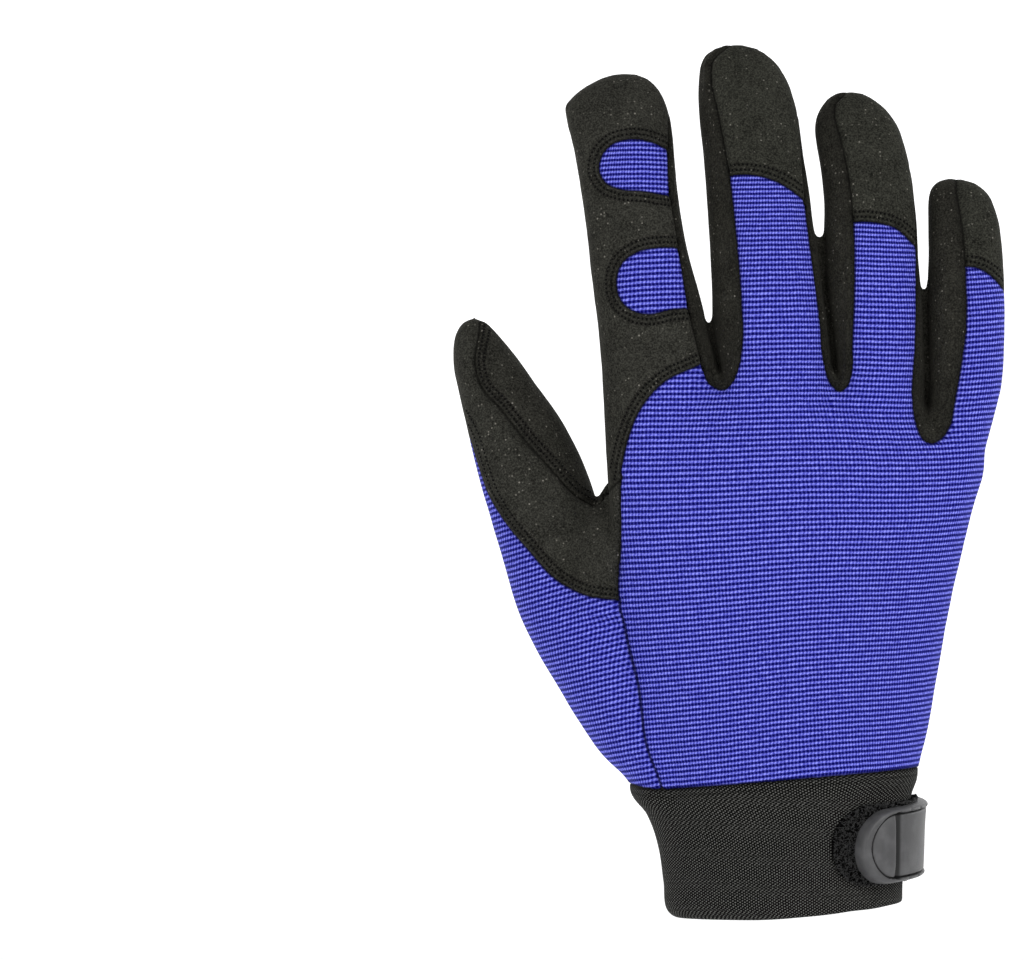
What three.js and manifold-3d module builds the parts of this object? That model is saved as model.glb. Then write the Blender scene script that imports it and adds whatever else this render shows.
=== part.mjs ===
// A right-hand work glove with a ribbed stretch back, a synthetic suede palm and a hook-and-loop wrist tab.
// Millimetres. The origin is the centre of the wrist opening and +Z runs from the cuff's rim to the fingertips.
// The back of the hand faces -Y, the palm faces +Y and the thumb is on the -X side.
// The hand is a hollow wall, lofted through short tables of sections and cut into its sewn panels along the seams.
import * as THREE from "three";
import { mergeVertices } from "three/addons/utils/BufferGeometryUtils.js";
import Module from "manifold-3d";

const wasm = await Module();
wasm.setup();

// Driving sizes
const PANEL_WALL = 1.4;
const CUFF_WALL = 2;
const SEAM_GAP = 0.4;
const PAD_LIFT = 0.3;
const PAD_THICKNESS = 2.2;
const CUFF_SEAM_HEIGHT = 39.2;
const CUFF_SEAM_SLOPE = 0.085;
const CUFF_SEAM_GAP = 0.4;
const HAND_SQUARENESS = 2.5;
const FAR = 90;
const SHORTEST_EDGE = 0.004;

// A table's rows as objects with the named columns.
function table(columns, ...rows) {
  return rows.map((row) => Object.fromEntries(columns.map((name, i) => [name, row[i]])));
}

// Level sections of a finger or of the hand: height, side edges, middle of the depth and half depth.
const LEVEL = ["up", "left", "right", "mid", "deep"];

const indexRows = table(LEVEL,
  [120, -49.0, -24.0, -2.4, 12.6],
  [147, -51.6, -20.8, -3.0, 13.0],
  [152, -52.0, -21.6, -2.8, 12.8],
  [160, -52.7, -22.0, -2.4, 12.6],
  [173, -54.1, -25.0, -1.4, 12.2],
  [187, -55.8, -29.0, 0.6, 12.0],
  [201, -57.4, -31.6, 3.6, 11.8],
  [215, -59.4, -32.8, 7.4, 11.2],
  [225, -61.2, -33.8, 10.6, 10.2],
  [230, -59.2, -35.4, 12.2, 8.8],
  [233.5, -55.8, -38.6, 13.4, 6.8],
  [235.6, -51.2, -42.4, 14.2, 4.0],
);

const middleRows = table(LEVEL,
  [120, -22.0, 13.0, -3.0, 12.8],
  [147, -21.2, 12.5, -3.6, 13.4],
  [152, -21.1, 12.0, -3.4, 13.2],
  [160, -21.3, 11.5, -3.0, 13.0],
  [173, -21.5, 10.3, -2.0, 12.6],
  [187, -22.2, 8.7, -0.4, 12.4],
  [201, -22.8, 6.4, 2.2, 12.2],
  [215, -23.6, 4.2, 5.8, 11.8],
  [228, -24.6, 1.8, 10.0, 10.8],
  [235.5, -24.6, -1.2, 12.8, 9.2],
  [240.2, -23.2, -5.0, 14.4, 7.0],
  [243.2, -18.6, -10.0, 15.4, 4.0],
);

const ringRows = table(LEVEL,
  [120, 12.0, 39.0, -2.4, 12.2],
  [141, 12.0, 38.4, -3.0, 12.6],
  [147, 12.0, 37.6, -3.0, 12.6],
  [152, 12.5, 37.5, -2.8, 12.4],
  [160, 11.9, 37.5, -2.4, 12.2],
  [173, 10.8, 37.7, -1.2, 11.8],
  [187, 9.2, 36.7, 1.0, 11.6],
  [201, 9.0, 34.8, 4.2, 11.2],
  [214, 8.2, 32.2, 8.2, 10.4],
  [222.5, 8.4, 29.4, 11.2, 9.0],
  [227.4, 10.4, 25.6, 12.8, 6.8],
  [230, 13.6, 21.6, 13.8, 4.0],
);

const littleRows = table(LEVEL,
  [112, 36.0, 50.2, -1.6, 11.6],
  [133, 37.8, 55.6, -2.2, 11.8],
  [141, 37.9, 57.8, -2.0, 11.6],
  [147, 38.1, 59.4, -1.8, 11.4],
  [160, 38.1, 60.4, -0.8, 11.0],
  [173, 38.3, 60.8, 1.0, 10.8],
  [187, 39.2, 60.0, 4.0, 10.2],
  [196.5, 39.4, 58.8, 6.8, 9.2],
  [202, 40.2, 56.2, 8.6, 7.6],
  [205.4, 43.0, 52.4, 9.8, 4.6],
);

const handRows = table(LEVEL,
  [26, -33.0, 36.0, 0.0, 21.5],
  [40, -36.5, 36.8, 0.0, 21.0],
  [55, -43.0, 39.6, 0.8, 20.6],
  [72, -47.0, 42.6, 1.2, 20.4],
  [92, -48.6, 46.4, 0.4, 19.4],
  [112, -49.0, 51.0, -1.4, 17.8],
  [130, -49.6, 54.6, -3.0, 15.4],
  [141, -48.0, 44.0, -3.4, 12.8],
  [146, -44.0, 36.0, -3.6, 9.6],
);

// The web of cloth between the thumb and the index finger.
const webRows = table(LEVEL,
  [84, -64.0, -40.0, 4.6, 15.5],
  [98, -62.0, -42.0, 5.0, 14.0],
  [108, -60.0, -44.0, 6.0, 11.5],
  [114.5, -57.6, -46.0, 7.0, 8.5],
  [117.6, -55.6, -48.0, 7.6, 5.0],
);

// Slanted sections of the thumb, each between a point on its outer edge and one on its inner edge.
const SLANT = ["outX", "outZ", "inX", "inZ", "mid", "deep"];

const thumbRows = table(SLANT,
  [-42.6, 33.0, -8.0, 22.0, 1.0, 15.0],
  [-55.0, 50.0, -15.0, 37.0, 3.4, 16.6],
  [-66.2, 68.0, -23.0, 54.0, 6.0, 17.4],
  [-75.0, 84.4, -32.0, 72.0, 8.8, 17.2],
  [-79.6, 99.6, -41.0, 92.0, 11.8, 16.0],
  [-83.0, 110.4, -50.0, 108.0, 14.6, 14.8],
  [-86.2, 121.6, -55.2, 124.0, 17.2, 13.8],
  [-89.2, 133.4, -62.0, 138.4, 19.8, 12.8],
  [-92.0, 145.8, -70.2, 149.8, 22.2, 11.8],
  [-93.9, 156.0, -77.6, 159.0, 24.2, 10.2],
  [-93.4, 162.8, -82.4, 164.6, 25.4, 7.6],
  [-91.4, 166.6, -85.4, 167.6, 26.2, 4.4],
);

// Cuff sections: the knit tube narrows from the hand to the wrist and its rim is rounded over.
const cuffRows = table(LEVEL,
  [0, -32.2, 31.2, 0.0, 20.2],
  [1.6, -33.4, 32.0, 0.0, 20.9],
  [16, -35.4, 33.0, 0.0, 21.2],
  [25, -37.2, 33.6, 0.0, 21.0],
  [32, -40.4, 34.6, 0.0, 20.9],
  [39, -45.2, 36.0, 0.2, 21.0],
  [46, -48.6, 37.2, 0.4, 21.0],
);

// Each section becomes a centre with a half-width vector and a half-depth vector.
function levelSections(rows) {
  return rows.map((r) => ({
    centre: new THREE.Vector3((r.left + r.right) / 2, r.mid, r.up),
    across: new THREE.Vector3((r.right - r.left) / 2, 0, 0),
    depth: new THREE.Vector3(0, r.deep, 0),
  }));
}

function slantSections(rows) {
  const centres = rows.map((r) => new THREE.Vector3((r.outX + r.inX) / 2, r.mid, (r.outZ + r.inZ) / 2));
  return rows.map((r, i) => {
    const along = centres[Math.min(i + 1, rows.length - 1)].clone().sub(centres[Math.max(i - 1, 0)]);
    const across = new THREE.Vector3(r.inX - r.outX, 0, r.inZ - r.outZ).multiplyScalar(0.5);
    const depth = along.cross(across).normalize().multiplyScalar(r.deep);
    return { centre: centres[i], across, depth };
  });
}

const forms = {
  hand: { sections: levelSections(handRows), sides: 24, squareness: 2.7 },
  index: { sections: levelSections(indexRows), sides: 12, squareness: HAND_SQUARENESS },
  middle: { sections: levelSections(middleRows), sides: 12, squareness: HAND_SQUARENESS },
  ring: { sections: levelSections(ringRows), sides: 12, squareness: HAND_SQUARENESS },
  little: { sections: levelSections(littleRows), sides: 12, squareness: HAND_SQUARENESS },
  web: { sections: levelSections(webRows), sides: 12, squareness: 2.2 },
  thumb: { sections: slantSections(thumbRows), sides: 12, squareness: 2.4 },
};
const cuffForm = { sections: levelSections(cuffRows), sides: 26, squareness: 2.2 };

// A closed mesh through rings of points, with a point at the middle of each end.
function skinRings(rings, firstPole, lastPole) {
  const sides = rings[0].length;
  const points = [...rings.flat(), firstPole, lastPole];
  const first = points.length - 2;
  const last = points.length - 1;
  const index = [];
  for (let r = 0; r + 1 < rings.length; r++) {
    for (let k = 0; k < sides; k++) {
      const a = r * sides + k;
      const b = r * sides + ((k + 1) % sides);
      index.push(a, b, b + sides, a, b + sides, a + sides);
    }
  }
  const top = (rings.length - 1) * sides;
  for (let k = 0; k < sides; k++) {
    const next = (k + 1) % sides;
    index.push(first, next, k, last, top + k, top + next);
  }
  const geometry = new THREE.BufferGeometry().setFromPoints(points);
  geometry.setIndex(index);
  return geometry;
}

function superellipse(section, sides, squareness, shrink) {
  const halfWidth = section.across.length();
  const halfDepth = section.depth.length();
  const wide = Math.max(halfWidth - shrink, 0.4) / halfWidth;
  const deep = Math.max(halfDepth - shrink, 0.4) / halfDepth;
  const round = (v) => Math.sign(v) * Math.abs(v) ** (2 / squareness);
  return Array.from({ length: sides }, (_, k) => {
    const turn = (2 * Math.PI * k) / sides;
    return section.centre.clone()
      .addScaledVector(section.across, wide * round(Math.cos(turn)))
      .addScaledVector(section.depth, deep * round(Math.sin(turn)));
  });
}

// The form drawn in by shrink all round, its tip too; openStart instead runs on past its first section.
function loft(form, shrink, openStart = 0) {
  const list = form.sections;
  const rings = list.map((s) => superellipse(s, form.sides, form.squareness, shrink));
  const tipStep = list.at(-1).centre.clone().sub(list.at(-2).centre);
  const tipReach = tipStep.clone().setLength(0.35 * tipStep.length());
  const tip = list.at(-1).centre.clone().add(tipReach);
  const inward = tipStep.clone().setLength(-shrink);
  const reach = Math.max(3 * Math.abs(shrink), 6);
  for (const [i, ring] of rings.entries()) {
    const left = list[i].centre.distanceTo(tip);
    const share = Math.max(0, 1 - left / reach);
    ring.forEach((p) => p.addScaledVector(inward, share));
  }
  tip.add(inward);
  const start = list[0].centre.clone();
  if (openStart) {
    const back = list[0].centre.clone().sub(list[1].centre).setLength(openStart);
    rings.unshift(rings[0].map((p) => p.clone().add(back)));
    start.add(back);
  }
  return solidOf(skinRings(rings, start, tip));
}

// three.js geometry to a solid, and back.
function solidOf(geometry) {
  const plain = geometry.clone();
  for (const name of ["normal", "uv"]) plain.deleteAttribute(name);
  const merged = mergeVertices(plain, 1e-4);
  const made = new wasm.Manifold(new wasm.Mesh({
    numProp: 3,
    vertProperties: new Float32Array(merged.attributes.position.array),
    triVerts: new Uint32Array(merged.index.array),
  }));
  if (made.volume() < 0) throw new Error("a solid is inside out");
  return made;
}

function geometryOf(solid) {
  const mesh = solid.getMesh();
  const position = new Float32Array(mesh.numVert * 3);
  for (let i = 0; i < mesh.numVert; i++) {
    position.set(mesh.vertProperties.subarray(i * mesh.numProp, i * mesh.numProp + 3), i * 3);
  }
  const geometry = new THREE.BufferGeometry();
  geometry.setAttribute("position", new THREE.BufferAttribute(position, 3));
  geometry.setIndex(new THREE.BufferAttribute(new Uint32Array(mesh.triVerts), 1));
  const merged = mergeVertices(geometry, SHORTEST_EDGE);
  const kept = [];
  for (let i = 0; i < merged.index.count; i += 3) {
    const [a, b, c] = merged.index.array.subarray(i, i + 3);
    if (a !== b && b !== c && c !== a) kept.push(a, b, c);
  }
  merged.setIndex(kept);
  return merged;
}

const joined = (solids) => solids.reduce((a, b) => a.add(b));

// The whole hand drawn in by shrink. Its wrist end lies inside the cuff, below the seam that trims it.
const handSolid = (shrink) => joined(Object.values(forms).map((form) => loft(form, shrink)));

// A prism through the glove along Y, with its outline given as X and Z.
function prism(outline, fromY = -FAR, toY = FAR) {
  const shape = new THREE.Shape(outline.map(([x, z]) => new THREE.Vector2(x, z)));
  const geometry = new THREE.ExtrudeGeometry(shape, { depth: toY - fromY, bevelEnabled: false });
  return solidOf(geometry.rotateX(Math.PI / 2).translate(0, toY, 0));
}

// Points along a smooth line through a few marks.
function smooth(marks, steps = 1, closed = false) {
  const curve = new THREE.SplineCurve(marks.map(([x, z]) => new THREE.Vector2(x, z)));
  if (!closed) return curve.getPoints(steps * (marks.length - 1)).map((p) => [p.x, p.y]);
  const ring = new THREE.CatmullRomCurve3(marks.map(([x, z]) => new THREE.Vector3(x, 0, z)), true);
  return ring.getPoints(steps * marks.length).slice(1).map((p) => [p.x, p.z]);
}

// A thin upright blade along a line of X and Z points, which cuts one seam.
function blade(line, width = SEAM_GAP) {
  const points = line.map(([x, z]) => new THREE.Vector2(x, z));
  const sideways = points.map((_, i) => {
    const a = points[Math.max(i - 1, 0)];
    const b = points[Math.min(i + 1, points.length - 1)];
    return new THREE.Vector2(a.y - b.y, b.x - a.x).normalize().multiplyScalar(width / 2);
  });
  const near = points.map((p, i) => p.clone().add(sideways[i]).toArray());
  const far = points.map((p, i) => p.clone().sub(sideways[i]).toArray());
  return prism([...near, ...far.reverse()]);
}

// The middle surface that parts the back from the palm: a height in Y, drawn through the sections' middles.
const FLANK_X = -47;
const middleMarks = [
  ...handRows.flatMap((r) => [[(r.left + r.right) / 2, r.up, r.mid], [r.right, r.up, r.mid]]),
  ...[104, 110, 116, 122, 128].map((z) => [FLANK_X, z, -2]),
  ...[indexRows, middleRows, ringRows, littleRows].flat().flatMap((r) =>
    [r.left, (r.left + r.right) / 2, r.right].map((x) => [x, r.up, r.mid])),
  ...webRows.slice(2).map((r) => [(r.left + r.right) / 2, r.up, r.mid]),
  ...thumbRows.flatMap((r) => [[r.outX, r.outZ, r.mid], [(r.outX + r.inX) / 2, (r.outZ + r.inZ) / 2, r.mid]]),
  ...thumbRows.slice(6).map((r) => [r.inX, r.inZ, r.mid]),
];

function middleY(x, z) {
  let sum = 0;
  let weights = 0;
  for (const [markX, markZ, y] of middleMarks) {
    const weight = 1 / (((x - markX) ** 2 + (z - markZ) ** 2) ** 1.6 + 2);
    sum += weight * y;
    weights += weight;
  }
  return sum / weights;
}

// Everything on the back side of the middle surface, moved towards the palm by shift.
function backZone(shift) {
  const box = new THREE.BoxGeometry(180, 2, 264, 15, 1, 20).translate(-17.3, 0, 120.7);
  const position = box.attributes.position;
  for (let i = 0; i < position.count; i++) {
    const inFront = position.getY(i) < 0;
    position.setY(i, inFront ? -FAR : middleY(position.getX(i), position.getZ(i)) + shift);
  }
  return solidOf(box);
}

const backHalf = backZone(0);

// Seam lines seen from the back, as X and Z. Each slot runs down one finger, round the crotch and up the next.
const indexMiddleSeam = [
  ...smooth([[-36.6, 237], [-35.6, 228], [-34, 216], [-33.4, 203], [-31, 189], [-27.6, 171], [-25.2, 159]]),
  ...smooth([[-23.8, 153.7], [-21.4, 148.8], [-18.9, 147.6], [-16.6, 149.2], [-14.6, 153.5]]),
  ...smooth([[-13.4, 160], [-13.6, 172], [-14.6, 186], [-16.6, 206], [-19.6, 224], [-22, 237.5], [-21.8, 246]]),
];
const middleRingSeam = [
  ...smooth([[-3.6, 242], [-1.2, 234], [1.6, 219], [3.6, 204], [6.2, 187], [9.0, 166]]),
  ...smooth([[9.6, 158], [10.6, 153], [12, 149], [13.8, 147.3], [15.6, 148.4], [16.8, 151.5]]),
  ...smooth([[17.2, 160], [17.9, 175], [17.8, 194], [16.8, 206], [14.6, 218], [12.8, 227], [12.4, 234]]),
];
const ringLittleSeam = [
  ...smooth([[25.6, 230], [28.2, 222], [31.2, 210], [34, 194], [35.6, 178], [35.6, 160], [34.7, 144]]),
  ...smooth([[35.7, 136.9], [37.4, 133.6], [39.4, 132.6], [41.9, 133.6], [44.4, 136.9], [45.8, 143.5]]),
  ...smooth([[47.4, 152], [49.2, 164], [49.2, 182], [48.4, 194], [47.3, 203], [47.6, 211]]),
];
const capSeams = {
  middle: smooth([[-20, 207.2], [-9, 207.4], [-2.4, 205.2], [2.6, 202], [8, 197.6]]),
  ring: smooth([[14, 194.2], [23.9, 194.3], [29.6, 192.8], [34.8, 188.4], [39, 184]]),
  little: smooth([[46, 182.2], [53.3, 181.4], [57.6, 178.6], [61, 174.6], [64, 171]]),
};
const indexBaseSeam = smooth([
  [-22.6, 155.4], [-26.5, 153.8], [-34.6, 149.9], [-41.4, 142.5], [-45.6, 132], [-47.5, 122],
]);
const sideSeam = smooth([
  [-47.5, 123.6], [-47.4, 105], [-47.4, 89.2], [-45.4, 78], [-42, 64], [-39.8, 48], [-35.6, 36], [-34, 24],
]);
const overlaySeam = smooth([
  [-98, 146], [-94, 142.4], [-90, 136], [-86.8, 126.4], [-83.8, 118], [-79.2, 110.4], [-72.6, 102.6],
  [-64.8, 94.4], [-56.6, 90.2], [-47.2, 88.8],
]);
const thumbCentreSeam = smooth([
  [-86, 176], [-86.6, 164], [-88, 155.8], [-86.4, 149], [-80.6, 142.4], [-74, 134],
  [-66, 125.6], [-58.8, 118.6], [-54.6, 116.4], [-52.6, 118.2], [-51.8, 124],
]);
const webSeam = smooth([[-54.6, 116.4], [-52.4, 118.2], [-49.6, 121.2], [-47.2, 123.4]]);
const thumbPalmSeam = smooth([
  [-98, 164], [-92.4, 161], [-88.6, 155.6], [-86, 150], [-81.4, 138], [-76.4, 124], [-70, 108], [-62, 90],
  [-52, 70], [-42, 52], [-33, 36], [-28, 24],
]);
const knuckleWindows = {
  upper: [
    [-30, 213.8], [-33.6, 215], [-37.6, 216.8], [-43.6, 217.8], [-48.8, 216.6], [-52.2, 213.2],
    [-53, 208.6], [-51.2, 205.4], [-47.4, 203.6], [-41, 203], [-33.2, 201.8], [-30, 201.6],
  ],
  lower: [
    [-24, 187], [-30.5, 187.2], [-36.6, 187.2], [-42.4, 185.9], [-46.8, 182.6], [-48.3, 177.6],
    [-46.8, 172], [-43.4, 169.3], [-39, 168.5], [-33, 169.8], [-27.6, 170.2], [-22, 170.4],
  ],
};

// Palm-side seams run just inside each finger's edge, dip round the crotches and meet the back seams at the tips.
const palmSlots = [
  [[-36.6, 237], [-35.7, 228], [-35.2, 218], [-34, 204], [-31.4, 189], [-27.4, 172], [-24.4, 158],
    [-22.9, 149.6], [-21.2, 146.8], [-19.5, 149.6], [-19.3, 160], [-19.8, 180], [-21, 204], [-22.6, 226],
    [-22.2, 237.5], [-21.8, 246]],
  [[-3.6, 242], [-1.3, 234], [1.2, 220], [4, 202], [7, 184], [9.4, 167], [10.6, 149.6], [12.2, 146.8],
    [13.8, 149.6], [13.9, 160], [12.8, 176], [11.4, 194], [10.6, 210], [11.4, 221], [12.7, 227.4], [12.4, 234]],
  [[25.6, 230], [28, 222], [31, 209], [34.2, 190], [35.6, 173], [36.2, 156], [36.5, 143.6], [38, 140.6],
    [39.6, 143.6], [40.4, 158], [40.6, 173], [41.4, 188], [42.8, 197.5], [46, 203], [47.6, 211]],
].map((rows) => smooth(rows));

// The back is parted from the palm along its sides, but not where one panel wraps round from back to palm.
const wraps = [
  prism(indexMiddleSeam).intersect(prism(palmSlots[0])),
  prism(middleRingSeam).intersect(prism(palmSlots[1])),
  prism(ringLittleSeam).intersect(prism(palmSlots[2])),
  prism([...overlaySeam, ...sideSeam.filter(([, z]) => z < 88), [-60, 20], [-110, 20], [-110, 146]])
    .intersect(prism([...thumbPalmSeam, [-60, 20], [-110, 20], [-110, 164]])),
  prism([...thumbCentreSeam, [-54, 128], [-58, 148], [-66, 172], [-76, 184]]),
];
const parting = backZone(SEAM_GAP / 2).subtract(backZone(-SEAM_GAP / 2)).subtract(joined(wraps));

const backBlades = [
  indexMiddleSeam, middleRingSeam, ringLittleSeam, ...Object.values(capSeams), indexBaseSeam, sideSeam,
  overlaySeam, thumbCentreSeam, webSeam, ...Object.values(knuckleWindows),
].map((points) => blade(points));
const palmBlades = [...palmSlots, thumbPalmSeam].map((points) => blade(points));

// A wide slab whose underside or top is the slanted seam between the hand and the cuff.
function seamSlab(above, gap) {
  const tall = 400;
  const box = new THREE.BoxGeometry(300, 300, tall);
  const lift = CUFF_SEAM_HEIGHT + (above ? 1 : -1) * (tall / 2 + gap / 2);
  box.translate(0, 0, lift - CUFF_SEAM_HEIGHT);
  box.rotateY(-Math.atan(CUFF_SEAM_SLOPE));
  box.translate(0, 0, CUFF_SEAM_HEIGHT);
  return solidOf(box);
}

const outside = handSolid(0);
const inside = handSolid(PANEL_WALL);
const wall = outside.subtract(inside).intersect(seamSlab(true, CUFF_SEAM_GAP));
const cutWall = wall
  .subtract(joined(backBlades).intersect(backHalf))
  .subtract(joined(palmBlades).subtract(backHalf))
  .subtract(parting);
const loosePanels = cutWall.decompose();

// A panel is the loose piece that holds most of a small probe at its middle.
function panelAt([x, y, z], size = 4) {
  const probe = solidOf(new THREE.BoxGeometry(size, size * 3, size).translate(x, y, z));
  const shares = loosePanels.map((piece) => piece.intersect(probe).volume());
  const best = shares.indexOf(Math.max(...shares));
  if (!(shares[best] > 0)) throw new Error(`no panel at ${[x, y, z]}`);
  return loosePanels[best];
}

// Raised palm pads: a layer lifted off the palm, inside a smooth outline.
const knucklePadOutline = smooth([
  [-45, 128], [-46, 142], [-42, 153.5], [-36.5, 157], [-29.5, 153.5], [-21.2, 142.5], [-13, 153.5],
  [-4.6, 157.5], [4, 153.5], [12, 142.5], [19, 152], [25, 155.5], [31, 151], [37.4, 139], [42.4, 147],
  [47, 149.4], [51.4, 144], [52, 132], [49, 121.6], [42, 118], [20, 117.4], [-8, 119], [-34, 120.8],
], 1, true);
const heelPadOutline = smooth([
  [-23.6, 92], [-22.6, 80], [-18, 69.5], [-8, 57.6], [4, 51.4], [16, 50.2], [28, 53.6], [36, 59.4],
  [40.4, 70], [43, 86], [44.4, 101], [40, 109.6], [28, 111.6], [10, 109.8], [-8, 107], [-19.6, 101.4],
], 1, true);
const padLayer = handSolid(-(PAD_LIFT + PAD_THICKNESS)).subtract(handSolid(-PAD_LIFT)).subtract(backHalf);
const padSolid = (outline) => {
  const cut = padLayer.intersect(prism(outline, 0, FAR)).decompose();
  return cut.reduce((a, b) => (a.volume() > b.volume() ? a : b));
};

const cuffTube = loft(cuffForm, 0, 0).subtract(loft(cuffForm, CUFF_WALL, 30)).intersect(seamSlab(false, CUFF_SEAM_GAP));

// A point on the cuff's outside at an angle round it and a height, moved outwards by out.
function cuffSkin(turn, height, out) {
  const above = Math.max(cuffRows.findIndex((r) => r.up > height), 1);
  const low = cuffRows[above - 1];
  const high = cuffRows[above];
  const share = (height - low.up) / (high.up - low.up);
  const row = Object.fromEntries(LEVEL.map((name) => [name, THREE.MathUtils.lerp(low[name], high[name], share)]));
  const round = (v) => Math.sign(v) * Math.abs(v) ** (2 / cuffForm.squareness);
  return new THREE.Vector3(
    (row.left + row.right) / 2 + ((row.right - row.left) / 2 + out) * round(Math.cos(turn)),
    row.mid + (row.deep + out) * round(Math.sin(turn)),
    height,
  );
}

// The wrist tab and the loop patch under it are round-ended plates bent round the cuff's little-finger side.
function bentPlate({ from, to, up, height, lift, thick, endRound, tilt }) {
  const stations = 16;
  const edgeSteps = 2;
  const fine = Array.from({ length: 161 }, (_, i) => THREE.MathUtils.degToRad(from + ((to - from) * i) / 160));
  const run = [0];
  fine.slice(1).forEach((turn, i) =>
    run.push(run[i] + cuffSkin(turn, up, lift).distanceTo(cuffSkin(fine[i], up, lift))));
  const length = run.at(-1);
  const rings = [];
  for (let n = 0; n <= stations; n++) {
    const s = (length * (1 - Math.cos((Math.PI * n) / stations))) / 2;
    const turn = fine[Math.max(run.findIndex((r) => r >= s - 1e-6), 0)];
    const inEnd = Math.min(Math.min(s, length - s) / endRound, 1);
    const half = (height / 2) * Math.max(Math.sqrt(1 - (1 - inEnd) ** 2), 0.12);
    const middle = up + tilt * (s / length - 0.5);
    const point = (out, v) => cuffSkin(turn, middle + v, out);
    const edge = thick / 2;
    const corner = Array.from({ length: edgeSteps + 1 }, (_, k) => (Math.PI / 2) * (k / edgeSteps));
    rings.push([
      ...corner.map((bend) => point(lift + edge + edge * Math.sin(bend), half - edge * 0.6 * (1 - Math.cos(bend)))),
      ...corner.reverse().map((bend) =>
        point(lift + edge + edge * Math.sin(bend), -half + edge * 0.6 * (1 - Math.cos(bend)))),
      point(lift, -half),
      point(lift, half),
    ]);
  }
  const middleOf = (ring) => ring.reduce((a, b) => a.clone().add(b), new THREE.Vector3()).divideScalar(ring.length);
  return solidOf(skinRings(rings, middleOf(rings[0]), middleOf(rings.at(-1))));
}

const loopPatch = bentPlate({ from: -70, to: 46, up: 21.4, height: 24, lift: 0.4, thick: 1.5, endRound: 11, tilt: 1.2 });
const strapTab = bentPlate({ from: -56, to: 42, up: 20.9, height: 22.4, lift: 2.3, thick: 2.6, endRound: 10, tilt: 1.6 });

// Materials
const suede = new THREE.MeshStandardMaterial({ color: 0x2d2d2a, roughness: 0.95, metalness: 0 });
const fourchetteSuede = new THREE.MeshStandardMaterial({ color: 0x292825, roughness: 0.95, metalness: 0 });
const stretch = new THREE.MeshStandardMaterial({ color: 0x4b4eb0, roughness: 0.8, metalness: 0 });
const cuffKnit = new THREE.MeshStandardMaterial({ color: 0x30302e, roughness: 0.9, metalness: 0 });
const pile = new THREE.MeshStandardMaterial({ color: 0x161616, roughness: 1, metalness: 0 });
const rubber = new THREE.MeshStandardMaterial({ color: 0x4e4f50, roughness: 0.55, metalness: 0 });

const glove = new THREE.Group();

function place(name, solid, material) {
  const mesh = new THREE.Mesh(geometryOf(solid), material);
  mesh.name = name;
  glove.add(mesh);
}

// Sewn panels of the hand
place("palm", panelAt([0, 20, 85]), suede);
place("back", panelAt([0, -19, 85]), stretch);
place("index_back", panelAt([-40, -15, 158]), suede);
place("knuckle_window_upper", panelAt([-42, -8.4, 210]), stretch);
place("knuckle_window_lower", panelAt([-39, -12.6, 178]), stretch);
place("cap_middle", panelAt([-9, -4, 222]), suede);
place("cap_ring", panelAt([22, -5, 207]), suede);
place("cap_little", panelAt([54, -5, 191]), suede);
place("fourchette_index_middle", panelAt([-24, -5, 160]), fourchetteSuede);
place("fourchette_middle_ring", panelAt([10.6, -6, 172]), fourchetteSuede);
place("fourchette_ring_little", panelAt([39, -4, 160]), fourchetteSuede);
place("thumb_back", panelAt([-66, -3, 108]), suede);
place("thumb_outer", panelAt([-60, -8, 70]), stretch);

// Pads, cuff and closure
place("knuckle_pad", padSolid(knucklePadOutline), suede);
place("heel_pad", padSolid(heelPadOutline), suede);
place("cuff", cuffTube, cuffKnit);
place("loop_patch", loopPatch, pile);
place("strap_tab", strapTab, rubber);

export default glove;
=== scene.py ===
import math

import bpy
import numpy as np
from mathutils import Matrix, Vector, noise
from mathutils.bvhtree import BVHTree
from mathutils.kdtree import KDTree


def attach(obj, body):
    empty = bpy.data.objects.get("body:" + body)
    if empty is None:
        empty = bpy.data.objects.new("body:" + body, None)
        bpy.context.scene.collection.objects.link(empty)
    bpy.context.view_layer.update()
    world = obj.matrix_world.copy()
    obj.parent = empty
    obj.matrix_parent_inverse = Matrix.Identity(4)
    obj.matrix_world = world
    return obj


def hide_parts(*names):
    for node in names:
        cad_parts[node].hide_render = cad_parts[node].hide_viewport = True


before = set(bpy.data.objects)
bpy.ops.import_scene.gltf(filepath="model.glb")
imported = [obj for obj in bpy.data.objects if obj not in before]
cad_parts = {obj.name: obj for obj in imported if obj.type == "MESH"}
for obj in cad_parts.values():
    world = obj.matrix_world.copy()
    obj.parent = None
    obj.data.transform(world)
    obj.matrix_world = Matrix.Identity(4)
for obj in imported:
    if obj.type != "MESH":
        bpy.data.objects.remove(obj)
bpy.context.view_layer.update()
bpy.ops.object.select_all(action="DESELECT")

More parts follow.
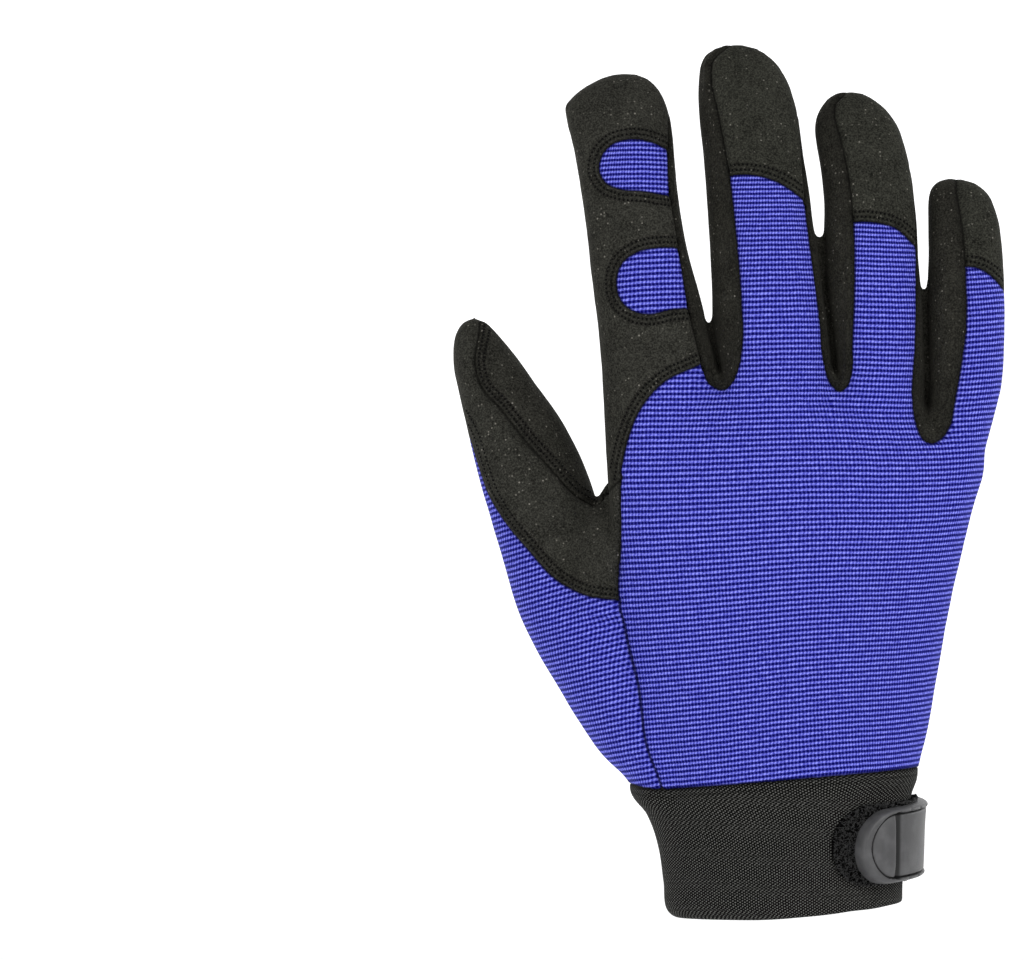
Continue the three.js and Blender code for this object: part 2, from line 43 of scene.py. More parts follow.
# The cloth shell of the hand.
# The glove is filled out as if worn, so all its panels lie on one form: a palm, four fingers, a thumb and the
# web between thumb and index finger, rounded and run into each other. Sizes of the form are millimetres.
MM = 0.001
LEVEL_FORMS = {  # squareness of the section, then rows of height, left, right, middle of depth, half depth
    "hand": (2.7, [
        [26, -33, 35.2, 0, 21.5], [40, -36.5, 36.1, 0, 21], [55, -43, 39.6, 0.8, 20.6],
        [72, -47, 42.6, 1.2, 20.4], [92, -48.6, 46.4, 0.4, 19.4], [112, -49.6, 51, -1.4, 17.8],
        [130, -50.6, 54.6, -3, 15.4], [141, -48, 44, -3.4, 12.8], [146, -44, 36, -3.6, 9.6]]),
    "index": (2.5, [
        [120, -50.4, -24, -2.4, 12.6], [147, -51.8, -20.8, -3, 13], [152, -52.1, -21.2, -2.8, 12.8],
        [160, -52.8, -21.7, -2.4, 12.6], [166, -53.4, -22.9, -2, 12.4], [173, -54.2, -24.4, -1.4, 12.2],
        [187, -55.9, -28.1, 0.6, 12], [201, -57.6, -30.5, 3.6, 11.8], [215, -59.9, -31.6, 7.4, 11.2],
        [224, -61.9, -32.7, 10.3, 10.4], [227, -62.1, -33.5, 11.3, 9.8], [230.4, -59.9, -34.9, 12.4, 8.6],
        [233.6, -55.6, -37, 13.4, 6.8], [236, -50.4, -40.2, 14.2, 4]]),
    "middle": (2.5, [
        [120, -22, 13, -3, 12.8], [147, -21.2, 12.5, -3.6, 13.4], [152, -21.2, 12, -3.4, 13.2],
        [160, -21.3, 11.5, -3, 13], [173, -21.3, 10.4, -2, 12.6], [184, -21.8, 8.8, -0.8, 12.4],
        [187, -21.9, 8.3, -0.4, 12.4], [190.5, -22.1, 7.7, 0.2, 12.3], [194, -22.3, 7.2, 0.9, 12.3],
        [201, -22.7, 6.4, 2.2, 12.2], [215, -23.8, 4.4, 5.8, 11.8], [228, -24.8, 2.3, 10, 10.8],
        [235.5, -24.7, -0.2, 12.8, 9.2], [240.8, -23.8, -3.8, 14.4, 7], [244.1, -20.2, -8.6, 15.4, 4]]),
    "ring": (2.5, [
        [120, 12, 39, -2.4, 12.2], [141, 12, 38.4, -3, 12.6], [147, 12, 37.6, -3, 12.6],
        [152, 12.5, 37.5, -2.8, 12.4], [160, 11.9, 37.6, -2.4, 12.2], [173, 10.8, 37.4, -1.2, 11.8],
        [178, 10.4, 36.9, -0.5, 11.7], [187, 10.3, 36.5, 1, 11.6], [190.5, 10.3, 36.4, 1.7, 11.5],
        [194, 10.2, 36.2, 2.5, 11.4], [201, 10.2, 35.5, 4.2, 11.2], [208, 9.5, 34.7, 6.1, 10.9],
        [214, 8.6, 33.6, 8.2, 10.4], [222.5, 7.8, 31, 11.2, 9], [227.8, 10, 26.8, 12.8, 6.8],
        [230.9, 13, 22.4, 13.8, 4]]),
    "little": (2.5, [
        [112, 36, 50.2, -1.6, 11.6], [133, 37.8, 55.6, -2.2, 11.8], [141, 37.9, 57.8, -2, 11.6],
        [147, 38.1, 59.4, -1.8, 11.4], [160, 38.1, 60.4, -0.8, 11], [173, 38.6, 60.8, 1, 10.8],
        [178, 39.2, 60.6, 2, 10.6], [187, 39.5, 60.1, 4, 10.2], [196.5, 39.6, 59, 6.8, 9.2],
        [202.4, 39.9, 56.8, 8.7, 7.6],
        [205.9, 41.6, 52.6, 9.9, 4.6]]),
    "web": (2.2, [
        [84, -64, -40, 4.6, 15.5], [98, -62, -42, 5, 14], [107, -60, -44, 6, 11.5],
        [112.8, -57.4, -46.6, 7, 8.4], [115.4, -54.8, -47.6, 7.6, 5.4],
        [118.4, -52.6, -48, 7.6, 4.4], [121.4, -50.9, -48.6, 7.6, 4]]),
}
THUMB_ROWS = [  # outer edge x and z, inner edge x and z, middle of the depth, half depth
    [-42.6, 33, -8, 22, 1, 15], [-55, 50, -15, 37, 3.4, 16.6], [-66.2, 68, -23, 54, 6, 17.4],
    [-75, 84.4, -32, 72, 8.8, 17.2], [-79.6, 99.6, -41, 92, 11.8, 16], [-83, 110.4, -50.6, 108, 14.6, 14.8],
    [-86.2, 121.6, -55.8, 124, 17.2, 13.8], [-89.2, 133.4, -62.9, 138.4, 19.8, 12.8],
    [-92, 145.8, -70.8, 149.8, 22.2, 11.8], [-93.9, 156, -77.6, 159, 24.2, 10.2],
    [-93.4, 162.8, -82.4, 164.6, 25.4, 7.6], [-91.4, 166.6, -85.4, 167.6, 26.2, 4.4]]
THUMB_SQUARENESS = 2.4
FORM_STEPS = 8  # sections from each row to the next
TIP_REACH = 0.35  # how far past its last row a form is rounded off, as a share of the last step
POINT = 0.05  # what is left of a form's width at its very end
VOXEL = 1.06
GAP_ENDS = [[-22.3, 166], [9.2, 189.6], [38, 177.2], [-52.2, 117.6]]  # where two fingers meet, x and z
GAP_KEPT = 0.92  # how little the smoothing draws the skin in there
THUMB_TIP = (-88, 168)
CLOTH_WAVE = 0.22


def through(marks, steps, closed=False):
    """A smooth curve through the marks, with that many points from each mark to the next."""
    marks = np.array(marks, float)
    count = len(marks)
    if closed:
        marks = np.vstack([marks[-2:], marks, marks[:2]])
    gap = np.maximum(np.linalg.norm(np.diff(marks, axis=0), axis=1), 1e-6)[:, None]
    slope = np.diff(marks, axis=0) / gap
    inner = (slope[:-1] * gap[1:] + slope[1:] * gap[:-1]) / (gap[:-1] + gap[1:])
    tangent = np.vstack([slope[:1], inner, slope[-1:]])
    t = np.linspace(0, 1, steps, endpoint=False)[:, None]
    parts = [
        (2 * t**3 - 3 * t**2 + 1) * marks[i] + (t**3 - 2 * t**2 + t) * gap[i] * tangent[i]
        + (3 * t**2 - 2 * t**3) * marks[i + 1] + (t**3 - t**2) * gap[i] * tangent[i + 1]
        for i in range(len(marks) - 1)]
    if closed:
        return np.vstack(parts[2:count + 2])
    return np.vstack(parts + [marks[-1:]])


def tube_faces(rings, sides, capped=False):
    """Triangles that join each ring of points to the next, with both ends closed where it is capped."""
    k = np.arange(sides)
    after = (k + 1) % sides
    faces = []
    for start in range(0, (rings - 1) * sides, sides):
        a, b = start + k, start + after
        faces += [np.column_stack([a, b, b + sides]), np.column_stack([a, b + sides, a + sides])]
    if capped:
        last = (rings - 1) * sides
        faces += [np.array([(0, i + 1, i), (last, last + i, last + i + 1)]) for i in range(1, sides - 1)]
    return np.vstack(faces)


def rings_to_skin(centre, across, depth, squareness, sides=72):
    """Closed skin over super-elliptic sections, with a point at the middle of each end."""
    turn = np.arange(sides) * 2 * math.pi / sides
    side = (np.sign(np.cos(turn)) * np.abs(np.cos(turn)) ** (2 / squareness))[None, :, None]
    front = (np.sign(np.sin(turn)) * np.abs(np.sin(turn)) ** (2 / squareness))[None, :, None]
    rings = centre[:, None] + across[:, None] * side + depth[:, None] * front
    points = np.vstack([rings.reshape(-1, 3), centre[:1], centre[-1:]])
    k = np.arange(sides)
    after = (k + 1) % sides
    first, last, top = len(points) - 2, len(points) - 1, (len(rings) - 1) * sides
    return points, np.vstack([
        tube_faces(len(rings), sides), np.column_stack([np.full(sides, first), after, k]),
        np.column_stack([np.full(sides, last), top + k, top + after])])


def joined(parts):
    """Several pairs of points and faces as one pair."""
    starts = np.cumsum([0] + [len(points) for points, _ in parts[:-1]])
    return (np.vstack([points for points, _ in parts]),
            np.vstack([faces + start for (_, faces), start in zip(parts, starts)]))


def mesh_from(name, points, faces):
    """A mesh object of triangles, placed by its points, which are millimetres."""
    mesh = bpy.data.meshes.new(name)
    mesh.vertices.add(len(points))
    mesh.vertices.foreach_set("co", (np.asarray(points) * MM).astype(np.float32).ravel())
    mesh.loops.add(3 * len(faces))
    mesh.loops.foreach_set("vertex_index", np.asarray(faces, np.int32).ravel())
    mesh.polygons.add(len(faces))
    mesh.polygons.foreach_set("loop_start", np.arange(0, 3 * len(faces), 3, dtype=np.int32))
    mesh.update(calc_edges=True)
    piece = bpy.data.objects.new(name, mesh)
    bpy.context.scene.collection.objects.link(piece)
    return piece


def use(piece):
    """Makes one piece the selected and active one, for the operators."""
    bpy.ops.object.select_all(action="DESELECT")
    piece.select_set(True)
    bpy.context.view_layer.objects.active = piece


forms = []
for squareness, rows in LEVEL_FORMS.values():
    tip = np.array(rows[-1], float) + TIP_REACH * (np.array(rows[-1], float) - np.array(rows[-2], float))
    tip[1:3] = tip[1:3].mean()
    tip[4] = POINT
    up, left, right, mid, deep = through(rows + [list(tip)], FORM_STEPS).T
    nought = np.zeros(len(up))
    forms.append(rings_to_skin(np.column_stack([(left + right) / 2, mid, up]),
                               np.column_stack([(right - left) / 2, nought, nought]),
                               np.column_stack([nought, deep, nought]), squareness))
out_x, out_z, in_x, in_z, mid, deep = through(THUMB_ROWS, FORM_STEPS).T
centre = np.column_stack([(out_x + in_x) / 2, mid, (out_z + in_z) / 2])
across = np.column_stack([in_x - out_x, 0 * mid, in_z - out_z]) / 2
depth = np.cross(np.gradient(centre, axis=0), across)
depth *= (deep / np.linalg.norm(depth, axis=1))[:, None]
reach = (centre[-1] - centre[-1 - FORM_STEPS]) * TIP_REACH
centre = np.vstack([centre, centre[-1] + reach * 0.7, centre[-1] + reach])
across = np.vstack([across, across[-1] * 0.6, across[-1] * POINT])
depth = np.vstack([depth, depth[-1] * 0.6, depth[-1] * POINT])
forms.append(rings_to_skin(centre, across, depth, THUMB_SQUARENESS))
blank = mesh_from("blank", *joined(forms))
use(blank)
remesh = blank.modifiers.new("one skin", "REMESH")
remesh.mode = "VOXEL"
remesh.voxel_size = VOXEL * MM
bpy.ops.object.modifier_apply(modifier=remesh.name)
blank.data.calc_loop_triangles()
skin_points = np.empty(3 * len(blank.data.vertices))
blank.data.vertices.foreach_get("co", skin_points)
skin_points = skin_points.reshape(-1, 3) / MM
skin_faces = np.empty(3 * len(blank.data.loop_triangles), np.int32)
blank.data.loop_triangles.foreach_get("vertices", skin_faces)
skin_faces = skin_faces.reshape(-1, 3).astype(np.int64)
bpy.data.objects.remove(blank)


def edges_of(faces, total):
    """Every edge once, and the three edges of each face."""
    ends = np.sort(faces[:, [0, 1, 1, 2, 2, 0]].reshape(-1, 2), axis=1)
    keys, where = np.unique(ends[:, 0] * total + ends[:, 1], return_inverse=True)
    return np.column_stack([keys // total, keys % total]), where.reshape(-1, 3)


def relax(points, faces, rounds, share=0.5):
    """Draws every point towards the middle of its neighbours, a few times over."""
    edges, _ = edges_of(faces, len(points))
    a, b = edges.T
    near = np.bincount(a, minlength=len(points)) + np.bincount(b, minlength=len(points))
    for _ in range(rounds):
        total = np.column_stack([
            np.bincount(a, points[b, i], len(points)) + np.bincount(b, points[a, i], len(points))
            for i in range(3)])
        points = points + share * (total / near[:, None] - points)
    return points


def outward(points, faces):
    """Unit normals of the points."""
    a, b, c = (points[faces[:, i]] for i in range(3))
    flat = np.cross(b - a, c - a)
    normals = np.column_stack([
        sum(np.bincount(faces[:, k], flat[:, i], len(points)) for k in range(3)) for i in range(3)])
    return normals / np.maximum(np.linalg.norm(normals, axis=1), 1e-12)[:, None]


def round_about(x, z, spread):
    """1 for the skin's points at that place seen from the back, falling to 0 round about it."""
    return np.exp(-((skin_points[:, 0] - x) ** 2 + (skin_points[:, 2] - z) ** 2) / spread)


skin_points = relax(skin_points, skin_faces, 2)
calm = 1 - GAP_KEPT * sum(round_about(x, z, 30) for x, z in GAP_ENDS)
skin_points = relax(skin_points, skin_faces, 6, 0.5 * calm[:, None])
skin_points = relax(skin_points, skin_faces, 10, 0.5 * round_about(*THUMB_TIP, 10)[:, None])
wave = np.array([
    noise.noise(Vector(p) * 0.055) + 0.45 * noise.noise(Vector(p) * 0.13 + Vector((7, 3, 1)))
    for p in skin_points])
skin_points += outward(skin_points, skin_faces) * (CLOTH_WAVE * wave)[:, None]

# The seams that part the shell into its sewn panels.
# The real glove is cut from suede and stretch cloth and joined with lockstitch seams. Each line is the seam
# seen from the back, in x and z. A slot line runs down one finger, round the crotch and up the next finger.
SLOTS = [through(line, 5) for line in (
    [[-34.2, 237], [-33.4, 229], [-33.3, 220], [-33.2, 212], [-32.9, 203], [-31.2, 192], [-29.5, 181],
     [-27.8, 170], [-25.2, 159], [-23.8, 153.7],
     [-21.4, 148.8], [-18.9, 147.6], [-16.6, 149.2], [-14.6, 153.5], [-13.4, 160], [-13.6, 172], [-14.6, 186],
     [-16.6, 206], [-19.6, 224], [-21.6, 236], [-21.2, 239.8], [-19.4, 242.2], [-16.4, 244.4], [-13, 247]],
    [[-1, 243], [1.6, 234.5], [2.8, 226], [3.5, 219], [4.1, 210], [4.7, 202], [6.4, 187], [9, 166],
     [9.6, 158], [10.6, 153], [12, 149],
     [13.8, 147.3], [15.6, 148.4], [16.8, 151.5], [17.2, 160], [17.9, 175], [17.8, 194], [16.8, 206],
     [14.6, 218], [13, 225.6], [13.6, 228.4], [15.6, 230.4], [18.6, 233]],
    [[28.4, 229.5], [31.6, 222.5], [33.8, 213.5], [34.8, 206], [35.5, 198], [35.8, 188], [35.9, 178],
     [35.6, 160], [34.7, 144], [35.7, 136.9],
     [37.4, 133.6], [39.4, 132.6], [41.9, 133.6], [44.4, 136.9], [45.8, 143.5], [47.4, 152], [49.2, 164],
     [49.2, 182], [48.4, 194], [47.3, 203], [47.6, 211]])]
PALM_SLOTS = [through(line, 5) for line in (
    [[-36.6, 237], [-35.7, 228], [-35.2, 218], [-34, 204], [-31.4, 189], [-27.4, 172], [-24.4, 158],
     [-22.9, 149.6], [-21.2, 146.8], [-19.5, 149.6], [-19.3, 160], [-19.8, 180], [-21, 204], [-22.6, 226],
     [-22.6, 236], [-21.6, 240], [-19.4, 242.4], [-16.4, 244.5], [-13, 247]],
    [[-3.6, 242], [-1.3, 234], [1.2, 220], [4, 202], [7, 184], [9.4, 167], [10.6, 149.6], [12.2, 146.8],
     [13.8, 149.6], [13.9, 160], [12.8, 176], [11.4, 194], [10.6, 210], [11.4, 221], [12.7, 227.4],
     [12.4, 234]],
    [[25.6, 230], [28, 222], [31, 209], [34.2, 190], [35.6, 173], [36.2, 156], [36.5, 143.6], [38, 140.6],
     [39.6, 143.6], [40.4, 158], [40.6, 173], [41.4, 188], [42.8, 197.5], [46, 203], [47.6, 211]])]
CAP_LINES = {
    "cap_middle": through([[-20, 207.2], [-9, 207.4], [-2.4, 205.2], [2.6, 202], [8, 197.6]], 6),
    "cap_ring": through([[14, 194.2], [23.9, 194.3], [29.6, 192.8], [34.8, 188.4], [39, 184]], 6),
    "cap_little": through([[46, 182.2], [53.3, 181.4], [57.6, 178.6], [61, 174.6], [64, 171]], 6)}
CAP_FAR = {"cap_middle": [[10, 250], [-28, 250], [-24, 207.2]], "cap_ring": [[40, 240], [10, 240]],
           "cap_little": [[72, 171], [72, 216], [42, 216]]}
INDEX_BASE = through([[-22.6, 155.4], [-26.5, 153.8], [-34.6, 149.9], [-41.4, 142.5], [-45.6, 132],
                      [-47.5, 122]], 6)
SIDE_LINE = through([[-47.5, 123.6], [-47.4, 105], [-47.4, 89.2], [-45.4, 78], [-42, 64], [-39.8, 48],
                     [-35.6, 36], [-34, 24]], 6)
OVERLAY_LINE = through([[-98, 146], [-94, 142.4], [-90, 136], [-86.8, 126.4], [-83.8, 118], [-79.2, 110.4],
                        [-72.6, 102.6], [-64.8, 94.4], [-56.6, 90.2], [-47.2, 88.8]], 6)
THUMB_CENTRE = through([[-86, 176], [-86.6, 164], [-88, 155.8], [-86.4, 149], [-80.6, 142.4], [-74, 134],
                        [-66, 125.2], [-59, 118], [-53.9, 115]], 6)
WEB_LINE = through([[-53.9, 115], [-52, 117], [-49.8, 119.8], [-47.2, 123]], 6)
THUMB_PALM = through([[-98, 164], [-92.4, 161], [-88.6, 155.6], [-86, 150], [-81.4, 138], [-76.4, 124],
                      [-70, 108], [-62, 90], [-52, 70], [-42, 52], [-33, 36], [-28, 24]], 6)
WINDOWS = {
    "knuckle_window_upper": through([
        [-30, 213.8], [-33.6, 215], [-37.6, 216.8], [-43.6, 217.8], [-48.8, 216.6], [-52.2, 213.2],
        [-53, 208.6], [-51.2, 205.4], [-47.4, 203.6], [-41, 203], [-33.2, 201.8], [-30, 201.6]], 6),
    "knuckle_window_lower": through([
        [-24, 187], [-30.5, 187.2], [-36.6, 187.2], [-42.4, 185.9], [-46.8, 182.6], [-48.3, 177.6],
        [-46.8, 172], [-43.4, 169.3], [-39, 168.5], [-33, 169.8], [-27.6, 170.2], [-22, 170.4]], 6)}
CUFF_SEAM, CUFF_SLOPE = 39.2, 0.085
CUFF_CLIMB, CUFF_CLIMBS_FROM = 0.0185, -34
low_side = SIDE_LINE[SIDE_LINE[:, 1] < 88.6]
high_side = SIDE_LINE[SIDE_LINE[:, 1] > 89]
BACK_AREAS = {
    "thumb_outer": np.vstack([OVERLAY_LINE, low_side, [[-60, 20], [-110, 20], [-110, 146]]]),
    "thumb_back": np.vstack([OVERLAY_LINE, high_side[::-1], WEB_LINE[::-1], THUMB_CENTRE[::-1],
                             [[-99, 176], [-99, 146]]]),
    "thumb_inner": np.vstack([THUMB_CENTRE, [[-52.2, 117], [-51.6, 124], [-54, 128], [-58, 148], [-66, 172],
                                             [-76, 184]]]),
    "index_back": np.vstack([INDEX_BASE, WEB_LINE[::-1], [[-58, 128], [-62, 150], [-80, 240], [-20, 250],
                                                          [-20, 160]]])}
THUMB_PALM_AREA = np.vstack([THUMB_PALM, [[-60, 20], [-110, 20], [-110, 164]]])
hand_rows, web_rows = LEVEL_FORMS["hand"][1], LEVEL_FORMS["web"][1]
finger_rows = [row for finger in ("index", "middle", "ring", "little") for row in LEVEL_FORMS[finger][1]]
MIDDLE_MARKS = np.array(
    [m for u, l, r, y, _ in hand_rows for m in ((l / 2 + r / 2, u, y), (r, u, y))]
    + [(-47, z, -2) for z in (104, 110, 116, 122, 128)]
    + [(x, u, y) for u, l, r, y, _ in finger_rows for x in (l, (l + r) / 2, r)]
    + [((l + r) / 2, u, y) for u, l, r, y, _ in web_rows[2:]]
    + [m for ox, oz, ix, iz, y, _ in THUMB_ROWS for m in ((ox, oz, y), ((ox + ix) / 2, (oz + iz) / 2, y))]
    + [(ix, iz, y) for _, _, ix, iz, y, _ in THUMB_ROWS[6:]])


def below_middle(points):
    """How far each point is on the palm side of the surface that parts the back from the palm."""
    sums = np.zeros((len(points), 2))
    for x, z, y in MIDDLE_MARKS:
        weight = 1 / (((points[:, 0] - x) ** 2 + (points[:, 2] - z) ** 2) ** 1.6 + 2)
        sums += np.column_stack([weight * y, weight])
    return points[:, 1] - sums[:, 0] / sums[:, 1]


LINE_REACH = 6  # the furthest that the distance outside a line is worked out


def inside_by(line, points):
    """Distance from the closed line, seen from the back: above 0 inside it and below 0 outside."""
    x, z = points[:, 0], points[:, 2]
    low, high = line.min(0) - LINE_REACH, line.max(0) + LINE_REACH
    near = np.flatnonzero((x > low[0]) & (x < high[0]) & (z > low[1]) & (z < high[1]))
    spot = np.column_stack([x[near], z[near]])
    far2 = np.full(len(near), 1e6)
    inside = np.zeros(len(near), bool)
    for p, q in zip(line, np.roll(line, -1, axis=0)):
        along = q - p
        share = np.clip((spot - p) @ along / max(along @ along, 1e-9), 0, 1)
        far2 = np.minimum(far2, ((spot - p - share[:, None] * along) ** 2).sum(1))
        crosses = (p[1] > spot[:, 1]) != (q[1] > spot[:, 1])
        if crosses.any():
            at = p[0] + (spot[:, 1] - p[1]) * along[0] / (along[1] if along[1] else 1e-9)
            inside ^= crosses & (spot[:, 0] < at)
    result = np.full(len(points), -float(LINE_REACH))
    result[near] = np.where(inside, 1, -1) * np.sqrt(far2)
    return result


def ease(x, low, high):
    """Goes smoothly from 0 at low to 1 at high."""
    t = np.clip((x - low) / (high - low), 0, 1)
    return t * t * (3 - 2 * t)


def bell(distance, width):
    """1 at no distance, falling smoothly to 0."""
    return np.exp(-(distance / width) ** 2)


def split(points, faces, marked, share, edges, where):
    """Adds a point on each marked edge, share of the way along it, and divides the faces to suit."""
    added = np.full(len(edges), -1)
    added[marked] = len(points) + np.arange(np.count_nonzero(marked))
    a, b = points[edges[marked, 0]], points[edges[marked, 1]]
    points = np.vstack([points, a + (b - a) * share[marked][:, None]])
    new = added[where]
    many = (new >= 0).sum(1)
    kept = [faces[many == 0]]
    f, n = faces[many == 3], new[many == 3]
    kept += [np.column_stack(t) for t in (
        (f[:, 0], n[:, 0], n[:, 2]), (n[:, 0], f[:, 1], n[:, 1]), (n[:, 2], n[:, 1], f[:, 2]), n.T)]
    for k in range(3):
        one = (many == 1) & (new[:, k] >= 0)
        a, b, c, n = faces[one, k], faces[one, (k + 1) % 3], faces[one, (k + 2) % 3], new[one, k]
        kept += [np.column_stack([a, n, c]), np.column_stack([n, b, c])]
        two = (many == 2) & (new[:, k] < 0)
        a, b, c = faces[two, k], faces[two, (k + 1) % 3], faces[two, (k + 2) % 3]
        p, q = new[two, (k + 1) % 3], new[two, (k + 2) % 3]
        kept += [np.column_stack([q, p, c]), np.column_stack([a, b, p]), np.column_stack([a, p, q])]
    return points, np.vstack(kept)


def halve(points, faces, longest, chosen=lambda edges: True):
    """Divides the faces at the middle of each chosen edge that is longer than that."""
    edges, where = edges_of(faces, len(points))
    too_long = np.linalg.norm(points[edges[:, 0], :3] - points[edges[:, 1], :3], axis=1) > longest
    return split(points, faces, too_long & chosen(edges), np.full(len(edges), 0.5), edges, where)


def cut(points, faces, field, snap=0.13):
    """Cuts the skin along the line where the field is nought."""
    value = field(points)
    value[np.abs(value) < snap] = 0
    edges, where = edges_of(faces, len(points))
    a, b = value[edges[:, 0]], value[edges[:, 1]]
    marked = a * b < 0
    share = np.where(marked, a / np.where(marked, a - b, 1), 0)
    return split(points, faces, marked, share, edges, where)


def trimmed(points, faces):
    """The faces with only the points that they use."""
    used, inverse = np.unique(faces, return_inverse=True)
    return points[used], inverse.reshape(-1, 3)


def cuff_line(x):
    """Height of the cuff's seam, which slants across the hand and climbs on the thumb's side."""
    return CUFF_SEAM + CUFF_SLOPE * x + CUFF_CLIMB * np.maximum(CUFF_CLIMBS_FROM - x, 0) ** 2


def above_cuff(points):
    return points[:, 2] - cuff_line(points[:, 0])


FOLD_DEPTH = 6.5
FOLD_FLOOR = -1.3  # how near the middle surface a fold may come
SLITS = [through(line, 6) for line in (  # the folds between the fingers, below where they part
    [[-22.3, 167.5], [-21.4, 162], [-20.3, 158], [-19.3, 154], [-18.5, 150.8]],
    [[9, 190], [9.4, 182.2], [10.4, 173.6], [11.5, 165], [12.4, 158], [12.9, 153.8], [14, 151.2]],
    [[38, 178.6], [38.3, 165], [38.6, 155], [38.6, 146], [38.2, 138.6]])]


def slit_push(line, points):
    """How much deeper the fold makes each point: steep on the left, with a gentle slope on the right."""
    spot = points[:, [0, 2]]
    push = np.zeros(len(points))
    near = np.flatnonzero(((spot > line.min(0) - 9) & (spot < line.max(0) + 9)).all(1))
    gap, side, at = np.full(len(near), 99.0), np.ones(len(near)), np.zeros(len(near))
    for i, (p, q) in enumerate(zip(line[:-1], line[1:])):
        along = q - p
        share = np.clip((spot[near] - p) @ along / (along @ along), 0, 1)
        off = spot[near] - p - share[:, None] * along
        closer = np.hypot(*off.T) < gap
        gap[closer] = np.hypot(*off.T)[closer]
        side[closer] = off[closer, 0]
        at[closer] = (i + share[closer]) / (len(line) - 1)
    shape = np.where(side > 0, 0.62 * bell(gap, 0.95) + 0.38 * bell(gap, 2.7), bell(gap, 0.85))
    push[near] = FOLD_DEPTH * shape * (1 - 0.75 * ease(at, 0.75, 1.0))
    return push


push = sum(slit_push(line, skin_points) for line in SLITS)
behind = below_middle(skin_points) < 0
skin_points, skin_faces = halve(skin_points, skin_faces, 0.6,
                                lambda edges: (push[edges].max(1) > 0.15) & behind[edges].all(1))
depth_left = FOLD_FLOOR - below_middle(skin_points)
push = sum(slit_push(line, skin_points) for line in SLITS)
skin_points[:, 1] += np.clip(push, 0, np.maximum(depth_left, 0))
over_seam = np.maximum(above_cuff(skin_points), 0)
skin_points[:, 0] += 2.1 * bell(over_seam, 3.2) * ease(-skin_points[:, 0], 38, 48)
index_corner = round_about(-61.6, 226.4, 5)
skin_points += index_corner[:, None] * (-0.35, 0, 0.5)

skin_points, skin_faces = cut(skin_points, skin_faces, above_cuff)
middles = skin_points[skin_faces].mean(1)
skin_faces = skin_faces[above_cuff(middles) > 0]
skin_points, skin_faces = cut(skin_points, skin_faces, below_middle)
closed_lines = [*SLOTS, *PALM_SLOTS, *WINDOWS.values(), *BACK_AREAS.values(), THUMB_PALM_AREA]
closed_lines += [np.vstack([line, CAP_FAR[cap]]) for cap, line in CAP_LINES.items()]
for line in closed_lines:
    skin_points, skin_faces = cut(skin_points, skin_faces, lambda p, line=line: inside_by(line, p))

SIDE_WALLS = ["fourchette_index_middle", "fourchette_middle_ring", "fourchette_ring_little"]
PANELS = ["palm", "back", "index_back", *WINDOWS, *CAP_LINES, *SIDE_WALLS, "thumb_back", "thumb_outer"]
NUMBER = {name: i for i, name in enumerate(PANELS)}


def panels_now():
    """The number of the panel that each face of the skin belongs to."""
    middles = skin_points[skin_faces].mean(1)
    behind = below_middle(middles) < 0
    result = np.where(behind, NUMBER["back"], NUMBER["palm"])

    def paint(name, line, side):
        result[side & (inside_by(line, middles) > 0)] = NUMBER[name]

    for name in ("thumb_outer", "thumb_back", "index_back"):
        paint(name, BACK_AREAS[name], behind)
    for name, line in WINDOWS.items():
        paint(name, line, behind)
    for name, line in CAP_LINES.items():
        paint(name, np.vstack([line, CAP_FAR[name]]), behind)
    paint("palm", BACK_AREAS["thumb_inner"], behind)
    paint("thumb_outer", THUMB_PALM_AREA, ~behind)
    for name, line, palm_line in zip(SIDE_WALLS, SLOTS, PALM_SLOTS):
        paint(name, line, behind)
        paint(name, palm_line, ~behind)
    return result


def edge_panels():
    """The ends of every edge, the lowest and highest panel beside it, and how many faces it has."""
    edges, where = edges_of(skin_faces, len(skin_points))
    low, high = np.full(len(edges), 99), np.full(len(edges), -1)
    np.minimum.at(low, where.ravel(), np.repeat(panel, 3))
    np.maximum.at(high, where.ravel(), np.repeat(panel, 3))
    return skin_points[edges], low, high, np.bincount(where.ravel(), minlength=len(edges))


def seam_points(table, first=None, second=None):
    """Points closely spaced along all the seams, along one panel's open edge, or between two panels."""
    ends, low, high, uses = table
    if first is None:
        pick = (low != high) | (uses == 1)
    elif second is None:
        pick = (uses == 1) & (low == first)
    else:
        pick = (low == min(first, second)) & (high == max(first, second))
    ends = ends[pick]
    return np.vstack([ends[:, 0], ends[:, 1], ends.mean(1)]) if len(ends) else np.zeros((0, 3))


BEYOND = 99.0  # stands for a distance that isn't worked out
MARK_REACH = 7


def distance_to(marks, points):
    """Distance from each point to the nearest mark, where one may be near."""
    result = np.full(len(points), BEYOND)
    if len(marks):
        tree = KDTree(len(marks))
        for i, mark in enumerate(marks):
            tree.insert(mark, i)
        tree.balance()
        near = ((points > marks.min(0) - MARK_REACH) & (points < marks.max(0) + MARK_REACH)).all(1)
        result[near] = [tree.find(p)[2] for p in points[near]]
    return result


OVER = [("index_back", "back"), *(("index_back", window) for window in WINDOWS),
        *((cap, "back") for cap in CAP_LINES), ("thumb_back", "thumb_outer")]
panel = panels_now()
apart = distance_to(seam_points(edge_panels()), skin_points)
skin_points, skin_faces = halve(skin_points, skin_faces, 0.62, lambda edges: apart[edges].min(1) < 2.6)
panel = panels_now()
table = edge_panels()
overlaps = np.vstack([seam_points(table, NUMBER[a], NUMBER[b]) for a, b in OVER])
apart = distance_to(overlaps, skin_points)
skin_points, skin_faces = halve(skin_points, skin_faces, 0.4, lambda edges: apart[edges].min(1) < 0.9)
panel = panels_now()
seam_table = edge_panels()
skin_normals = outward(skin_points, skin_faces)

